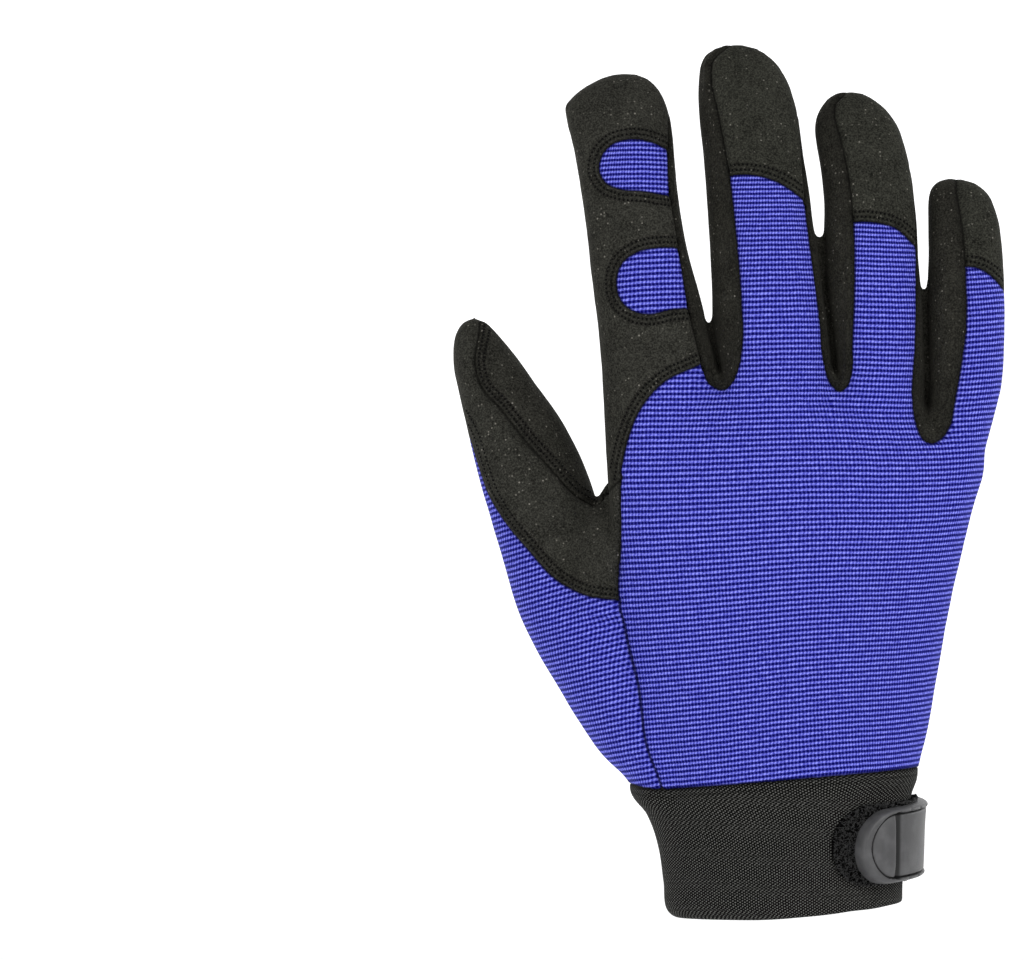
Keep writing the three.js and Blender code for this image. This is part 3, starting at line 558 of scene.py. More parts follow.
# Where one panel meets another.
# A plain seam turns both edges in and leaves a groove. An overlay lies on top of its neighbour with its edge
# rolled over, and a side wall swells into a soft rim beside the seam. Each panel becomes a closed sheet.
LIFT = {"index_back": 0.45, "cap_middle": 0.4, "cap_ring": 0.4, "cap_little": 0.4, "thumb_back": 0.45}
ROWS = (1.35, 2.8)  # the twin rows of stitches, from the edge they hold down
SHEET_THICK = 1.1
FAR_AWAY = 9.0
SEAM_REACH = 6
over_pairs = {(NUMBER[a], NUMBER[b]) for a, b in OVER}
surfaces = {}
FOLDS = np.vstack([through([[l, y, u] for u, l, r, y, _ in LEVEL_FORMS["index"][1][:9]], 60),
                   through([[ix, y, iz] for _, _, ix, iz, y, _ in THUMB_ROWS[5:11]], 60)])


def relief(gap, depth, width, swell=0.0, off=0.0, spread=1.0):
    """A groove that deep and wide along a seam, and a swelling beside it at that distance off."""
    return -depth * bell(gap, width) + swell * bell(gap - off, spread)


def shaped_panel(name):
    """The panel's own points with their seam relief, its faces, and each point's distances from its seams."""
    number = NUMBER[name]
    both, faces = trimmed(np.hstack([skin_points, skin_normals]), skin_faces[panel == number])
    points, normals = both[:, :3], both[:, 3:]
    lift = LIFT.get(name, 0.0)
    height = np.full(len(points), lift)
    nearest, sewn = np.full((2, len(points)), FAR_AWAY)
    for other, other_name in enumerate(PANELS):
        if other == number:
            continue
        gap = distance_to(seam_points(seam_table, number, other), points)
        nearest = np.minimum(nearest, gap)
        if (number, other) in over_pairs or (name, other_name) == ("palm", "thumb_back"):
            sewn = np.minimum(sewn, gap)
        if gap.min() > SEAM_REACH:
            continue
        if (number, other) in over_pairs:
            height += relief(gap, lift + 0.15, 0.38)
        elif (other, number) in over_pairs:
            height += relief(gap, 0.3, 1.5)
        elif name in SIDE_WALLS:
            height += relief(gap, 0.62, 0.6, 0.5, 1.5, 1.0)
        elif other_name in SIDE_WALLS:
            height += relief(gap, 0.62 + lift, 0.75)
        else:
            height += relief(gap, 0.75 + lift, 0.85, 0.2, 2.4, 1.3)
    gap = distance_to(seam_points(seam_table, number), points)
    height += relief(gap, 0.25, 0.6, 0.25, 1.6, 1.2)
    nearest = np.minimum(nearest, gap)
    height *= 0.12 + 0.88 * ease(abs(normals[:, 1]), 0.1, 0.6)
    row_gap = np.minimum.reduce([abs(sewn - row) for row in ROWS])
    return points + normals * height[:, None], faces, {"seam_gap": nearest, "row_gap": row_gap}


def note(piece, key, values):
    """Keeps a value at each point of the piece, for its finish to read."""
    piece.data.attributes.new(key, "FLOAT", "POINT").data.foreach_set("value", values.astype(np.float32))


def lay_weave(piece, places):
    """Keeps weave coordinates at each corner of the piece."""
    layer = piece.data.uv_layers.new(name="weave")
    layer.data.foreach_set("uv", places.astype(np.float32).ravel())


def dress(piece, finish, node=None):
    """Gives the piece its finish, fixes it to the glove, and hides the imported part of the node that it
    stands for.
    """
    piece.data.materials.append(finish)
    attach(piece, "root")
    if node:
        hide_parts(node)


def cloth_panel(name, finish, weave=None):
    points, faces, gaps = shaped_panel(name)
    piece = mesh_from(name + "_cloth", points, faces)
    surfaces[name] = BVHTree.FromPolygons([Vector(p) for p in points * MM], faces.tolist())
    if weave is not None:
        lay_weave(piece, np.column_stack(weave(points))[faces.ravel()])
    if name in ("palm", "index_back", "thumb_back"):
        gaps["fold_gap"] = distance_to(FOLDS, points)
    for key, values in gaps.items():
        note(piece, key, values)
    use(piece)
    wall = piece.modifiers.new("thickness", "SOLIDIFY")
    wall.thickness = SHEET_THICK * MM
    wall.offset = -1
    bpy.ops.object.modifier_apply(modifier=wall.name)
    bpy.ops.object.shade_smooth_by_angle(angle=math.radians(62))
    dress(piece, finish, name)


# The palm: one piece of synthetic suede that covers the palm, the palm side of all the fingers and the inner
# side of the thumb, and wraps round to the seam on the thumb's back. The nap is matt black with pale flecks.


class Wire:
    """A value in a material's node tree, on which sums can be written: 1 - mask adds its Math nodes."""

    def __init__(self, finish, socket):
        self.finish, self.socket = finish, socket

    def __getitem__(self, output):
        return Wire(self.finish, self.socket.node.outputs[output])

    def sum(self, operation, *others):
        values = dict(enumerate((self, *others)))
        return self.finish.add("ShaderNodeMath", {"operation": operation}, values)

    def __add__(self, other):
        return self.sum("ADD", other)

    def __mul__(self, other):
        return self.sum("MULTIPLY", other)

    def __sub__(self, other):
        return self.sum("SUBTRACT", other)

    def __truediv__(self, other):
        return self.sum("DIVIDE", other)

    def __rsub__(self, other):
        return self * -1 + other

    __radd__, __rmul__ = __add__, __mul__

    def __abs__(self):
        return self.sum("ABSOLUTE")

    def ripple(self):
        """Goes from 1 down to 0 and back once in each unit."""
        return (self * (2 * math.pi)).sum("COSINE") * 0.5 + 0.5

    def most(self, other):
        return self.sum("MAXIMUM", other)

    def rise(self, low, high):
        """Goes smoothly from 0 at low to 1 at high."""
        return self.finish.add("ShaderNodeMapRange", {"interpolation_type": "SMOOTHSTEP"},
                               {"Value": self, "From Min": low, "From Max": high})


class Finish:
    """A material that is built up from nodes."""

    def __init__(self, name):
        self.material = bpy.data.materials.new(name)
        self.material.use_nodes = True
        self.tree = self.material.node_tree
        self.tree.nodes.clear()

    def add(self, kind, settings=None, sockets=None, out=0):
        """A new node of that kind, with its settings, then the values or links of its sockets."""
        node = self.tree.nodes.new(kind)
        for key, value in (settings or {}).items():
            setattr(node, key, value)
        for key, value in (sockets or {}).items():
            if isinstance(value, Wire):
                self.tree.links.new(value.socket, node.inputs[key])
            else:
                node.inputs[key].default_value = value
        return Wire(self, node.outputs[out])

    def place(self):
        return self.add("ShaderNodeTexCoord", out="Object")

    def mark(self, key):
        """The value that was noted at the piece's points under that key."""
        return self.add("ShaderNodeAttribute", {"attribute_name": key}, out="Fac")

    def weave(self):
        """The piece's weave coordinates, X along the cords or round the cuff and Y across them or up it."""
        return self.add("ShaderNodeSeparateXYZ", None, {0: self.add("ShaderNodeUVMap", {"uv_map": "weave"})})

    def grain(self, size, detail=2.0, rough=0.5):
        """Cloudy noise from 0 to 1 whose features are about that many metres across."""
        return self.add("ShaderNodeTexNoise", None, {"Vector": self.place(), "Scale": 1 / size,
                                                     "Detail": detail, "Roughness": rough})

    def mix(self, share, first, second):
        return self.add("ShaderNodeMix", {"data_type": "RGBA"}, {0: share, 6: first, 7: second}, out=2)

    def skin(self, height=None, **values):
        """Ends the tree in the surface shader, with the height in metres as its bump."""
        sockets = {key.replace("_", " "): value for key, value in values.items()}
        if height is not None:
            sockets["Normal"] = self.add("ShaderNodeBump", None, {"Height": height, "Distance": 1.0})
        shader = self.add("ShaderNodeBsdfPrincipled", None, sockets)
        end = self.tree.nodes.new("ShaderNodeOutputMaterial")
        self.tree.links.new(shader.socket, end.inputs["Surface"])
        return self.material


def suede(name, dark, pale, wear_and_edge_highlight=False, hollow=False):
    """Napped synthetic suede, pressed down along its seams and into a furrow under each row of stitches, with
    painted shade in those seams and furrows.
    """
    f = Finish(name)
    nap = f.grain(0.0005, 3.0, rough=0.8)
    cloud = f.grain(0.008, 3.0)
    streak = f.grain(0.0022, 2.0)
    tone = nap.rise(0.37, 0.65) * 0.76 + cloud.rise(0.3, 0.7) * 0.14 + streak.rise(0.3, 0.7) * 0.12
    colour = f.mix(tone, dark, pale)
    speck = f.add("ShaderNodeTexVoronoi", None, {"Vector": f.place(), "Scale": 1050.0})
    chosen = f.add("ShaderNodeSeparateColor", None, {0: speck["Color"]})["Red"].rise(0.76, 1.0)
    fleck = (1 - speck["Distance"].rise(0.08, 0.38)) * chosen * chosen * cloud.rise(0.25, 0.6)
    colour = f.mix(fleck * 0.6, colour, (0.4, 0.38, 0.33, 1))

    def near(key, low, high):
        return 1 - f.mark(key).rise(low, high)

    furrow, seam = near("row_gap", 0.2, 0.75), near("seam_gap", 0.1, 0.6)
    # Along the folds at the index finger's and thumb's edges the nap turns paler: worn nap, and a painted
    # highlight where those edges catch the light.
    if wear_and_edge_highlight:
        colour = f.mix(near("fold_gap", 0.2, 1.5) * nap.rise(0.35, 0.6) * 0.55, colour, (0.2, 0.19, 0.165, 1))
    shade = near("seam_gap", 0.2, 2.6) * (0.4 if hollow else 0.0)
    # Painted shade: the colour goes nearly black in the stitch furrows and along the seams, and, where hollow
    # is set, over a wider band beside the seams where the side walls fold into their creases.
    colour = f.mix((furrow * 0.28).most(seam * 0.7).most(shade), colour, (0.003, 0.003, 0.0026, 1))
    height = nap * 0.00012 + streak * 0.00007 - furrow * 0.0002
    return f.skin(height, Base_Color=colour, Roughness=0.95, Specular_IOR_Level=0.05, Sheen_Weight=0.03,
                  Sheen_Roughness=0.4, Sheen_Tint=(0.9, 0.86, 0.76, 1))


palm_suede = suede("palm_suede", (0.0042, 0.0042, 0.0034, 1), (0.047, 0.046, 0.0385, 1), wear_and_edge_highlight=True)
cloth_panel("palm", palm_suede)

# The back and the thumb's outer panel: polyester and elastane stretch knit with fine cords across the hand,
# dyed blue. Rows of loops are painted as a paler cord with painted highlights and a darker dotted valley of
# painted shade, and the edges are sewn into seams.
RIB = 1.45
LOOP = 1.06


def knit(name, deep, low, high):
    """Corded stretch knit on the piece's weave coordinates: millimetres along and across the cords."""
    f = Finish(name)
    weave = f.weave()
    wander = f.grain(0.004, 2.0) - 0.5
    fuzz = f.grain(0.0007, 2.0, rough=0.7)
    along = weave["X"] / LOOP + wander * 0.6 + fuzz * 0.45
    over = weave["Y"] / RIB + wander * 0.2
    within = over.sum("FRACT") - 0.5
    cord = within.ripple().rise(0.1, 0.78)
    strand = (along - within * 0.5).ripple()
    parting = (along + 0.5 - within * 0.3).ripple().rise(0.5, 1.0)
    hole = (1 - cord) * (along + 0.5).ripple()
    # Painted light: the cords' pale tone and bright strokes are painted highlight, the valleys and holes
    # painted shade.
    tone = cord * (0.42 + strand * 0.28 + fuzz.rise(0.3, 0.7) * 0.32) * (1 - parting * 0.15)
    tone = tone + (1 - cord) * 0.28 - hole * 0.36
    colour = f.mix(tone.rise(0.0, 0.55), deep, low)
    colour = f.mix(tone.rise(0.45, 1.08), colour, high)
    # Painted shade: the knit goes nearly black along its seams and round the laps that lie over it.
    seam = 1 - f.mark("seam_gap").rise(0.15, 0.65)
    colour = f.mix(seam * 0.85, colour, (0.001, 0.001, 0.03, 1))
    height = cord * 0.00022 + strand * cord * 0.00007 - hole * 0.00014
    return f.skin(height, Base_Color=colour, Roughness=0.8, Specular_IOR_Level=0.04, Sheen_Weight=0.08,
                  Sheen_Roughness=0.3, Sheen_Tint=(0.5, 0.54, 1.0, 1))


HEIGHTS = [20, 40, 54, 68, 82, 96, 110, 124, 140, 155, 169, 183, 197, 240]
PITCHES = [1.36, 1.37, 1.4, 1.42, 1.44, 1.47, 1.5, 1.52, 1.48, 1.46, 1.5, 1.4, 1.28, 1.28]  # of the cords
SPREADS = [0.93, 0.95, 0.98, 1, 1.04, 1.07, 1.1, 1.1, 1.08, 1.06, 1.06, 1.05, 1.04, 1.04]  # of the loops
HEIGHT_STEP = 0.5
fine_heights = np.arange(HEIGHTS[0], HEIGHTS[-1] + HEIGHT_STEP / 2, HEIGHT_STEP)
cord_count = np.cumsum(HEIGHT_STEP / np.interp(fine_heights, HEIGHTS, PITCHES))


def stretched(along, up):
    """Weave coordinates that follow how far the knit is stretched at each height."""
    return along * LOOP / np.interp(up, HEIGHTS, SPREADS), RIB * np.interp(up, fine_heights, cord_count)


def back_weave(p):
    """Cords level across the fingers and tilted like the cuff seam below, loops spaced along the surface."""
    x, y, z = p.T
    tilt = 0.1 * (1 - ease(z, 45, 150)) - 0.02 * ease(z, 165, 205)
    side = np.clip((x + 2) / 22, -1, 1)
    centres = np.where(x < 12, -5, np.where(x < 40, 25, 47))
    finger = np.clip((x - centres) / 9, -1, 1)
    turn = np.where(side < 0, 0.35 * side, side) * (1 - ease(z, 132, 168)) + 0.5 * finger * ease(z, 132, 168)
    top = -18.5 + 4 * ease(z, 138, 168)
    bow = 1.1 * bell(x - 8, 26) + 0.0016 * np.maximum(x - 22, 0) ** 2
    return stretched(x + (y - top) * turn, z - tilt * x - bow)


def thumb_weave(p):
    x, y, z = p.T
    return 0.85 * x - 0.45 * y, z * 0.965 - 0.27 * x + 0.0016 * (x + 62) ** 2


blue = knit("blue_stretch_knit", (0.0004, 0.0006, 0.1, 1), (0.058, 0.063, 0.48, 1), (0.29, 0.31, 0.98, 1))
cloth_panel("back", blue, back_weave)
cloth_panel("thumb_outer", blue, thumb_weave)

# The index finger's back: black suede with two windows of the blue knit let in from below, so that the finger
# bends at its joints. Two rows of stitches hold the suede down round each window and along its lower edge.
index_suede = suede("index_suede", (0.0045, 0.0044, 0.0036, 1), (0.051, 0.0505, 0.0425, 1), wear_and_edge_highlight=True)
cloth_panel("index_back", index_suede)


def upper_weave(p):
    x, y, z = p.T
    along = x - 0.6 * (y + 9) * np.clip((-44 - x) / 6, 0, 1)
    return along, (z + 0.004 * (x + 42) ** 2) * RIB / 1.35


def lower_weave(p):
    x, y, z = p.T
    along = x - 0.6 * (y + 12) * np.clip((-42 - x) / 6, 0, 1)
    return along, (z - 0.05 * x + 0.003 * (x + 36) ** 2) * RIB / 1.49


cloth_panel("knuckle_window_upper", blue, upper_weave)
cloth_panel("knuckle_window_lower", blue, lower_weave)

# Fingertip caps and side walls: black suede over the ends of the middle, ring and little fingers, and the
# narrow fourchettes between the fingers, which roll forward into a soft rim round each crotch. All are sewn
# to the back and the palm.
cap_suede = suede("cap_suede", (0.0042, 0.0043, 0.0034, 1), (0.049, 0.0495, 0.04, 1))
CAP_CUTS = {"cap_middle": ((0.028, 0.046), 0.00108), "cap_ring": ((0.024, 0.045), 0.00081),
            "cap_little": ((0.018, 0.036), 0.00057)}
for cap, (flat_size, flat_area) in CAP_CUTS.items():
    cloth_panel(cap, cap_suede)
# The side walls' suede is a darker copy of the caps' suede: painted shade, for the walls turn away from the
# light.
shaded_wall_suede = suede("shaded_side_wall_suede", (0.0036, 0.0035, 0.0028, 1), (0.04, 0.039, 0.032, 1), hollow=True)
for wall, flat_area in zip(SIDE_WALLS, (0.0031, 0.00244, 0.00245)):
    cloth_panel(wall, shaded_wall_suede)

# The thumb's overlay: a black suede piece on the thumb's back, lapped over the blue outer panel with its edge
# stitched down, and sewn to the palm's wrapped edge along the thumb's centre.
thumb_suede = suede("thumb_suede", (0.0042, 0.0042, 0.0034, 1), (0.052, 0.0515, 0.0435, 1), wear_and_edge_highlight=True)
cloth_panel("thumb_back", thumb_suede)

# Stitching on the back: black polyester lockstitch in twin rows beside the laps, where it holds the suede
# down round the windows, along the index finger's lower edge and the caps, and along the thumb's two seams.
THREAD_SIDES = 5
SEAT_STEP = 0.3
FEWEST_SEATS = 7
LEAST_FACING = 0.25  # the least that the cloth may face the viewer where a stitch sits


def beside(line, gap):
    """The line moved sideways, to its left hand as one goes along it."""
    along = np.gradient(line, axis=0)
    side = np.column_stack([-along[:, 1], along[:, 0]])
    return line + gap * side / np.maximum(np.linalg.norm(side, axis=1), 1e-9)[:, None]


def run_along(line):
    """How far along the line each of its points is."""
    return np.concatenate([[0], np.cumsum(np.linalg.norm(np.diff(line, axis=0), axis=1))])


def at_runs(wanted, run, line):
    """Places on a line at those distances along it."""
    return np.column_stack([np.interp(wanted, run, column) for column in line.T])


def spaced(line, step):
    """The same line with its points evenly spaced."""
    run = run_along(line)
    return at_runs(np.arange(0, run[-1], step), run, line)


def outward_solid(piece):
    """Turns all the faces of a closed piece outwards."""
    use(piece)
    bpy.ops.object.mode_set(mode="EDIT")
    bpy.ops.mesh.select_all(action="SELECT")
    bpy.ops.mesh.normals_make_consistent(inside=False)
    bpy.ops.object.mode_set(mode="OBJECT")


def sew(name, rows, panels, facing, finish, pitch=1.2, long=0.7, thick=0.32):
    """One piece of thread: stitches along rows of x and z, laid on the outside of the named panels."""
    stitches = []
    turn = np.arange(THREAD_SIDES) * 2 * math.pi / THREAD_SIDES
    faces = tube_faces(4, THREAD_SIDES, capped=True)
    ray = Vector((0, -facing, 0))
    for number, row in enumerate(rows):
        seats, runs = [], []
        for x, z in spaced(row, SEAT_STEP):
            best = None
            for panel_name in panels:
                spot, normal, _, far = surfaces[panel_name].ray_cast(Vector((x, facing * 100, z)) * MM, ray)
                if spot and normal.y * facing > LEAST_FACING and (best is None or far < best[2]):
                    best = (np.array(spot) / MM, np.array(normal), far)
            if best is None:
                runs.append(seats)
                seats = []
            else:
                seats.append(best)
        for seats in runs + [seats]:
            if len(seats) < FEWEST_SEATS:
                continue
            spots = np.array([seat[0] for seat in seats])
            normals = np.array([seat[1] for seat in seats])
            gone = run_along(spots)
            for start in np.arange(0.2 + number % 2 * pitch / 2, gone[-1] - long, pitch):
                at = start + long * np.linspace(0, 1, 4)
                middle, up = at_runs(at, gone, spots), at_runs(at, gone, normals)
                across = np.cross(middle[-1] - middle[0], up)
                across /= np.maximum(np.linalg.norm(across, axis=1), 1e-9)[:, None]
                thin = (thick * np.array([0.5, 1, 1, 0.5]))[:, None]
                middle = middle + up * np.array([-0.2, 0.08, 0.08, -0.2])[:, None]
                rings = (middle[:, None] + (across * thin)[:, None] * np.cos(turn)[None, :, None]
                         + (up * thin)[:, None] * np.sin(turn)[None, :, None])
                stitches.append((rings.reshape(-1, 3), faces))
    thread = mesh_from(name, *joined(stitches))
    outward_solid(thread)
    bpy.ops.object.shade_smooth()
    dress(thread, finish)


black_thread = Finish("black_thread")
twist = (black_thread.grain(0.0003, 1.0) - 0.5) * 0.00008
black_thread = black_thread.skin(twist, Base_Color=(0.001, 0.001, 0.001, 1), Roughness=0.6,
                                 Specular_IOR_Level=0.08)
window_rows = [beside(line, -gap) for line in WINDOWS.values() for gap in ROWS]
base_rows = [beside(INDEX_BASE[::-1], gap) for gap in ROWS]
sew("index_stitches", window_rows + base_rows, ["index_back"], -1, black_thread)
cap_rows = [beside(line, gap) for line in CAP_LINES.values() for gap in ROWS]
sew("cap_stitches", cap_rows, ["cap_middle", "cap_ring", "cap_little"], -1, black_thread)
thumb_rows = [beside(line, gap) for line in (THUMB_CENTRE, OVERLAY_LINE) for gap in ROWS]
sew("thumb_stitches", thumb_rows, ["palm", "thumb_back"], -1, black_thread)

# The palm pads: two patches of the same suede over thin foam, laid on the palm and held by twin rows of
# stitches along their edges. The knuckle pad has a sewn channel across it, the heel pad a circle and a D.
KNUCKLE_PAD = through([
    [-45, 128], [-46, 142], [-42, 153.5], [-36.5, 157], [-29.5, 153.5], [-21.2, 142.5], [-13, 153.5],
    [-4.6, 157.5], [4, 153.5], [12, 142.5], [19, 152], [25, 155.5], [31, 151], [37.4, 139], [42.4, 147],
    [47, 149.4], [51.4, 144], [52, 132], [49, 121.6], [42, 118], [20, 117.4], [-8, 119],
    [-34, 120.8]], 5, closed=True)
HEEL_PAD = through([
    [-23.6, 92], [-22.6, 80], [-18, 69.5], [-8, 57.6], [4, 51.4], [16, 50.2], [28, 53.6], [36, 59.4],
    [40.4, 70], [43, 86], [44.4, 101], [40, 109.6], [28, 111.6], [10, 109.8], [-8, 107],
    [-19.6, 101.4]], 5, closed=True)
channel = through([[-40, 135.4], [-33, 134.7], [-12, 131.8], [17, 129.4], [34, 129.2], [47.5, 130.2]], 8)
quarter = np.linspace(0, 2 * math.pi, 49)
sewn_circle = np.column_stack([-6.3 + 10 * np.cos(quarter), 89.1 + 10 * np.sin(quarter)])
sewn_d = np.vstack([spaced(np.array([[14.4, 95.5], [14.4, 60.5]]), 1.0), through([
    [14.4, 60.5], [20, 60.6], [28, 63.2], [34.6, 69], [37.6, 78], [38, 88], [36.4, 95.8]], 6),
    spaced(np.array([[36.4, 95.8], [14.4, 95.5]]), 1.0)])


def gap_to_line(line, points):
    """Distance from each point to an open line seen square on."""
    fine = spaced(line, 0.25)
    return distance_to(np.column_stack([fine[:, 0], np.zeros(len(fine)), fine[:, 1]]),
                       np.column_stack([points[:, 0], np.zeros(len(points)), points[:, 2]]))


def closed_between(top, under, faces):
    """The closed skin round the space between two sheets with the same faces."""
    _, where = edges_of(faces, len(top))
    ends = faces[:, [0, 1, 1, 2, 2, 0]].reshape(-1, 2)
    rim = ends[np.bincount(where.ravel())[where.ravel()] == 1]
    n = len(top)
    walls = [np.column_stack([rim[:, 1], rim[:, 0], rim[:, 0] + n]),
             np.column_stack([rim[:, 1], rim[:, 0] + n, rim[:, 1] + n])]
    return np.vstack([top, under]), np.vstack([faces, faces[:, ::-1] + n, *walls])


PAD_ROWS = (1.4, 3.4)


def palm_pad(name, outline, quilting):
    """A patch cut from the palm's own surface, swollen by its foam and drawn down along its stitches."""
    faces = skin_faces[panel == NUMBER["palm"]]
    facing = skin_normals[faces][:, :, 1].min(1) > 0.12
    faces = faces[facing & (inside_by(outline, skin_points[faces].mean(1)) > -4)]
    sheet, faces = trimmed(np.hstack([skin_points, skin_normals]), faces)
    sheet, faces = cut(sheet, faces, lambda p: inside_by(outline, p), 0.05)
    faces = faces[inside_by(outline, sheet[faces].mean(1)) > 0]
    for _ in range(2):
        sheet, faces = halve(sheet, faces, 0.7)
    sheet, faces = trimmed(sheet, faces)
    rim = np.maximum(inside_by(outline, sheet), 0)
    height = 0.25 + 0.65 * (1 - bell(rim, 0.5)) + 1.75 * ease(rim, 3.4, 8.5)
    height -= 0.32 * (bell(rim - PAD_ROWS[0], 0.5) + bell(rim - PAD_ROWS[1], 0.55))
    sewn = np.minimum.reduce([gap_to_line(line, sheet) for line in quilting])
    height -= (height - 0.75).clip(0) * (0.8 * bell(sewn, 0.8) + 0.2 * bell(sewn, 2.6))
    normals = sheet[:, 3:] / np.linalg.norm(sheet[:, 3:], axis=1)[:, None]
    top = sheet[:, :3] + normals * height[:, None]
    surfaces[name] = BVHTree.FromPolygons([Vector(p) for p in top * MM], faces.tolist())
    piece = mesh_from(name + "_patch", *closed_between(top, sheet[:, :3] - normals * 0.3, faces))
    # These distances drive the suede's painted shade along the pad's edge and in its rows of stitches.
    row_gap = np.minimum.reduce([abs(rim - PAD_ROWS[0]), abs(rim - PAD_ROWS[1]), sewn])
    for key, values in {"row_gap": row_gap, "seam_gap": rim + 0.3, "fold_gap": 0 * rim + FAR_AWAY}.items():
        note(piece, key, np.tile(values, 2))
    use(piece)
    bpy.ops.object.shade_smooth_by_angle(angle=math.radians(60))
    dress(piece, palm_suede, name)


twin_channel = [beside(channel, 0.9), beside(channel, -0.9)]
palm_pad("knuckle_pad", KNUCKLE_PAD, twin_channel)
palm_pad("heel_pad", HEEL_PAD, [sewn_circle, sewn_d])
pad_rows = [beside(np.vstack([line, line[:2]]), side * gap)
            for line, side in ((KNUCKLE_PAD, -1), (HEEL_PAD, 1)) for gap in PAD_ROWS]
sew("pad_stitches", pad_rows + twin_channel + [sewn_circle, sewn_d], ["knuckle_pad", "heel_pad"], 1,
    black_thread, thick=0.24)

# The cuff: a wide band of black woven elastic, doubled over at the rim and sewn under the hand's lower edge.
# Its surface is a fine matt crosshatch of rubber-cored yarns. It swells to the hand's width above the wrist.
CUFF_ROWS = [[0, -32, 31, 0, 20.2], [1.6, -33.6, 31.6, 0, 20.9], [10, -34.9, 32.1, 0, 21.1],
             [19, -36.2, 32.9, 0, 21.1], [25, -37.9, 33.4, 0, 21], [30.3, -40.4, 34, 0, 20.9],
             [34.8, -43.4, 34.7, 0.1, 21], [39, -46, 35.8, 0.2, 21], [46, -48.8, 37.2, 0.4, 21]]
CUFF_WALL = 2.0
CUFF_SIDES = 260
CUFF_SQUARENESS = 2.2
RIM_SHARE = 0.035  # the part of the cuff's height that is rounded into the rim
CUFF_CENTRE = np.array([-4, 0])
cuff_table = through(CUFF_ROWS, 10)
shell_edge = skin_points[np.unique(skin_faces)]
shell_edge = shell_edge[np.abs(above_cuff(shell_edge)) < 0.02]


def from_centre(x, y):
    """Angle and distance of places from the cuff's centre."""
    return np.arctan2(y, x - CUFF_CENTRE[0]), np.hypot(x - CUFF_CENTRE[0], y)


edge_angle, edge_radius = from_centre(shell_edge[:, 0], shell_edge[:, 1])
edge_order = np.argsort(edge_angle)
edge_angle, edge_radius = edge_angle[edge_order], edge_radius[edge_order]


def cuff_spot(turn, up, out):
    """A point on the cuff's outside at that angle and height, moved outwards by out."""
    _, left, right, mid, deep = (np.interp(up, cuff_table[:, 0], column) for column in cuff_table.T)
    power = 2 / CUFF_SQUARENESS

    def oval(more):
        c, s = np.cos(turn), np.sin(turn)
        return np.column_stack([
            (left + right) / 2 + ((right - left) / 2 + more) * np.sign(c) * np.abs(c) ** power,
            mid + (deep + more) * np.sign(s) * np.abs(s) ** power])

    plain, moved = oval(0), oval(out)
    angle, radius = from_centre(plain[:, 0], plain[:, 1])
    tuck = up - cuff_line(plain[:, 0])
    wanted = np.interp(angle, edge_angle, edge_radius, period=2 * math.pi) - 0.2 - 1.3 * ease(tuck, -0.4, 1.0)
    pull = (wanted - radius) * ease(tuck, -7.5, -0.5)
    away = (moved - CUFF_CENTRE) / np.linalg.norm(moved - CUFF_CENTRE, axis=1)[:, None]
    return np.column_stack([moved + away * pull[:, None], up])


turns = np.arange(CUFF_SIDES) * 2 * math.pi / CUFF_SIDES
fold = np.linspace(0, math.pi, 9)
cuff_profile = [(share, 0.0) for share in np.linspace(1, RIM_SHARE, 64)]  # how high, and how far outwards
cuff_profile += [(0.028 - 0.028 * math.sin(a), -CUFF_WALL / 2 + CUFF_WALL / 2 * math.cos(a))
                 for a in fold[1:-1]]
cuff_profile += [(share, -CUFF_WALL) for share in np.linspace(RIM_SHARE, 1, 40)]
middle_x = cuff_spot(turns, np.full(CUFF_SIDES, 39.0), 0.0)[:, 0]
rim_rise = 0.0016 * np.maximum(middle_x + 15, 0) ** 2
rim_rise += 0.55 * ease(middle_x, -20, 4) * (1 - ease(middle_x, 18, 30))
cuff_rings = [cuff_spot(turns, share * (cuff_line(middle_x) + 2.2) + (1 - share) ** 2 * rim_rise, out)
              for share, out in cuff_profile]
cuff_points = np.vstack(cuff_rings)
cuff_faces = tube_faces(len(cuff_rings) + 1, CUFF_SIDES)[:, ::-1] % len(cuff_points)
cuff = mesh_from("cuff_band", cuff_points, cuff_faces)
around = run_along(cuff_rings[30])
corner = cuff_faces.ravel()
corner_u = np.tile(around, len(cuff_rings))[corner].reshape(-1, 3)
corner_u[corner_u.max(1) - corner_u.min(1) > around[-1] / 2] = 0  # the join of the band, down its side
lay_weave(cuff, np.column_stack([corner_u.ravel(), cuff_points[corner, 2]]))
note(cuff, "below_seam", cuff_line(cuff_points[:, 0]) - cuff_points[:, 2])
outward_solid(cuff)
bpy.ops.object.shade_smooth()
elastic = Finish("woven_elastic")
weave = elastic.weave()
stray = elastic.grain(0.005, 2.0) - 0.5
fibre = elastic.grain(0.0007, 3.0, rough=0.7)
rising = (weave["X"] * 0.78 - weave["Y"] * 1.2 + stray * 0.8 + fibre * 0.3).ripple()
falling = (weave["X"] * 0.7 + weave["Y"] * 1.32 + stray * 0.6 + fibre * 0.3).ripple()
columns = (weave["X"] * 1.47 + stray * 0.8 + fibre * 0.3).ripple()
twill = (weave["X"] * 0.76 - weave["Y"] * 0.52 + stray * 0.8).ripple()
yarn = rising * 0.32 + falling * 0.25 + rising * falling * 0.35 + columns * 0.32 + twill * 0.16
tone = (yarn + fibre * 0.5 - 0.25).rise(0.3, 1.2)
colour = elastic.mix(tone * tone, (0.0008, 0.0008, 0.0007, 1), (0.14, 0.14, 0.131, 1))
gap = elastic.mark("below_seam")
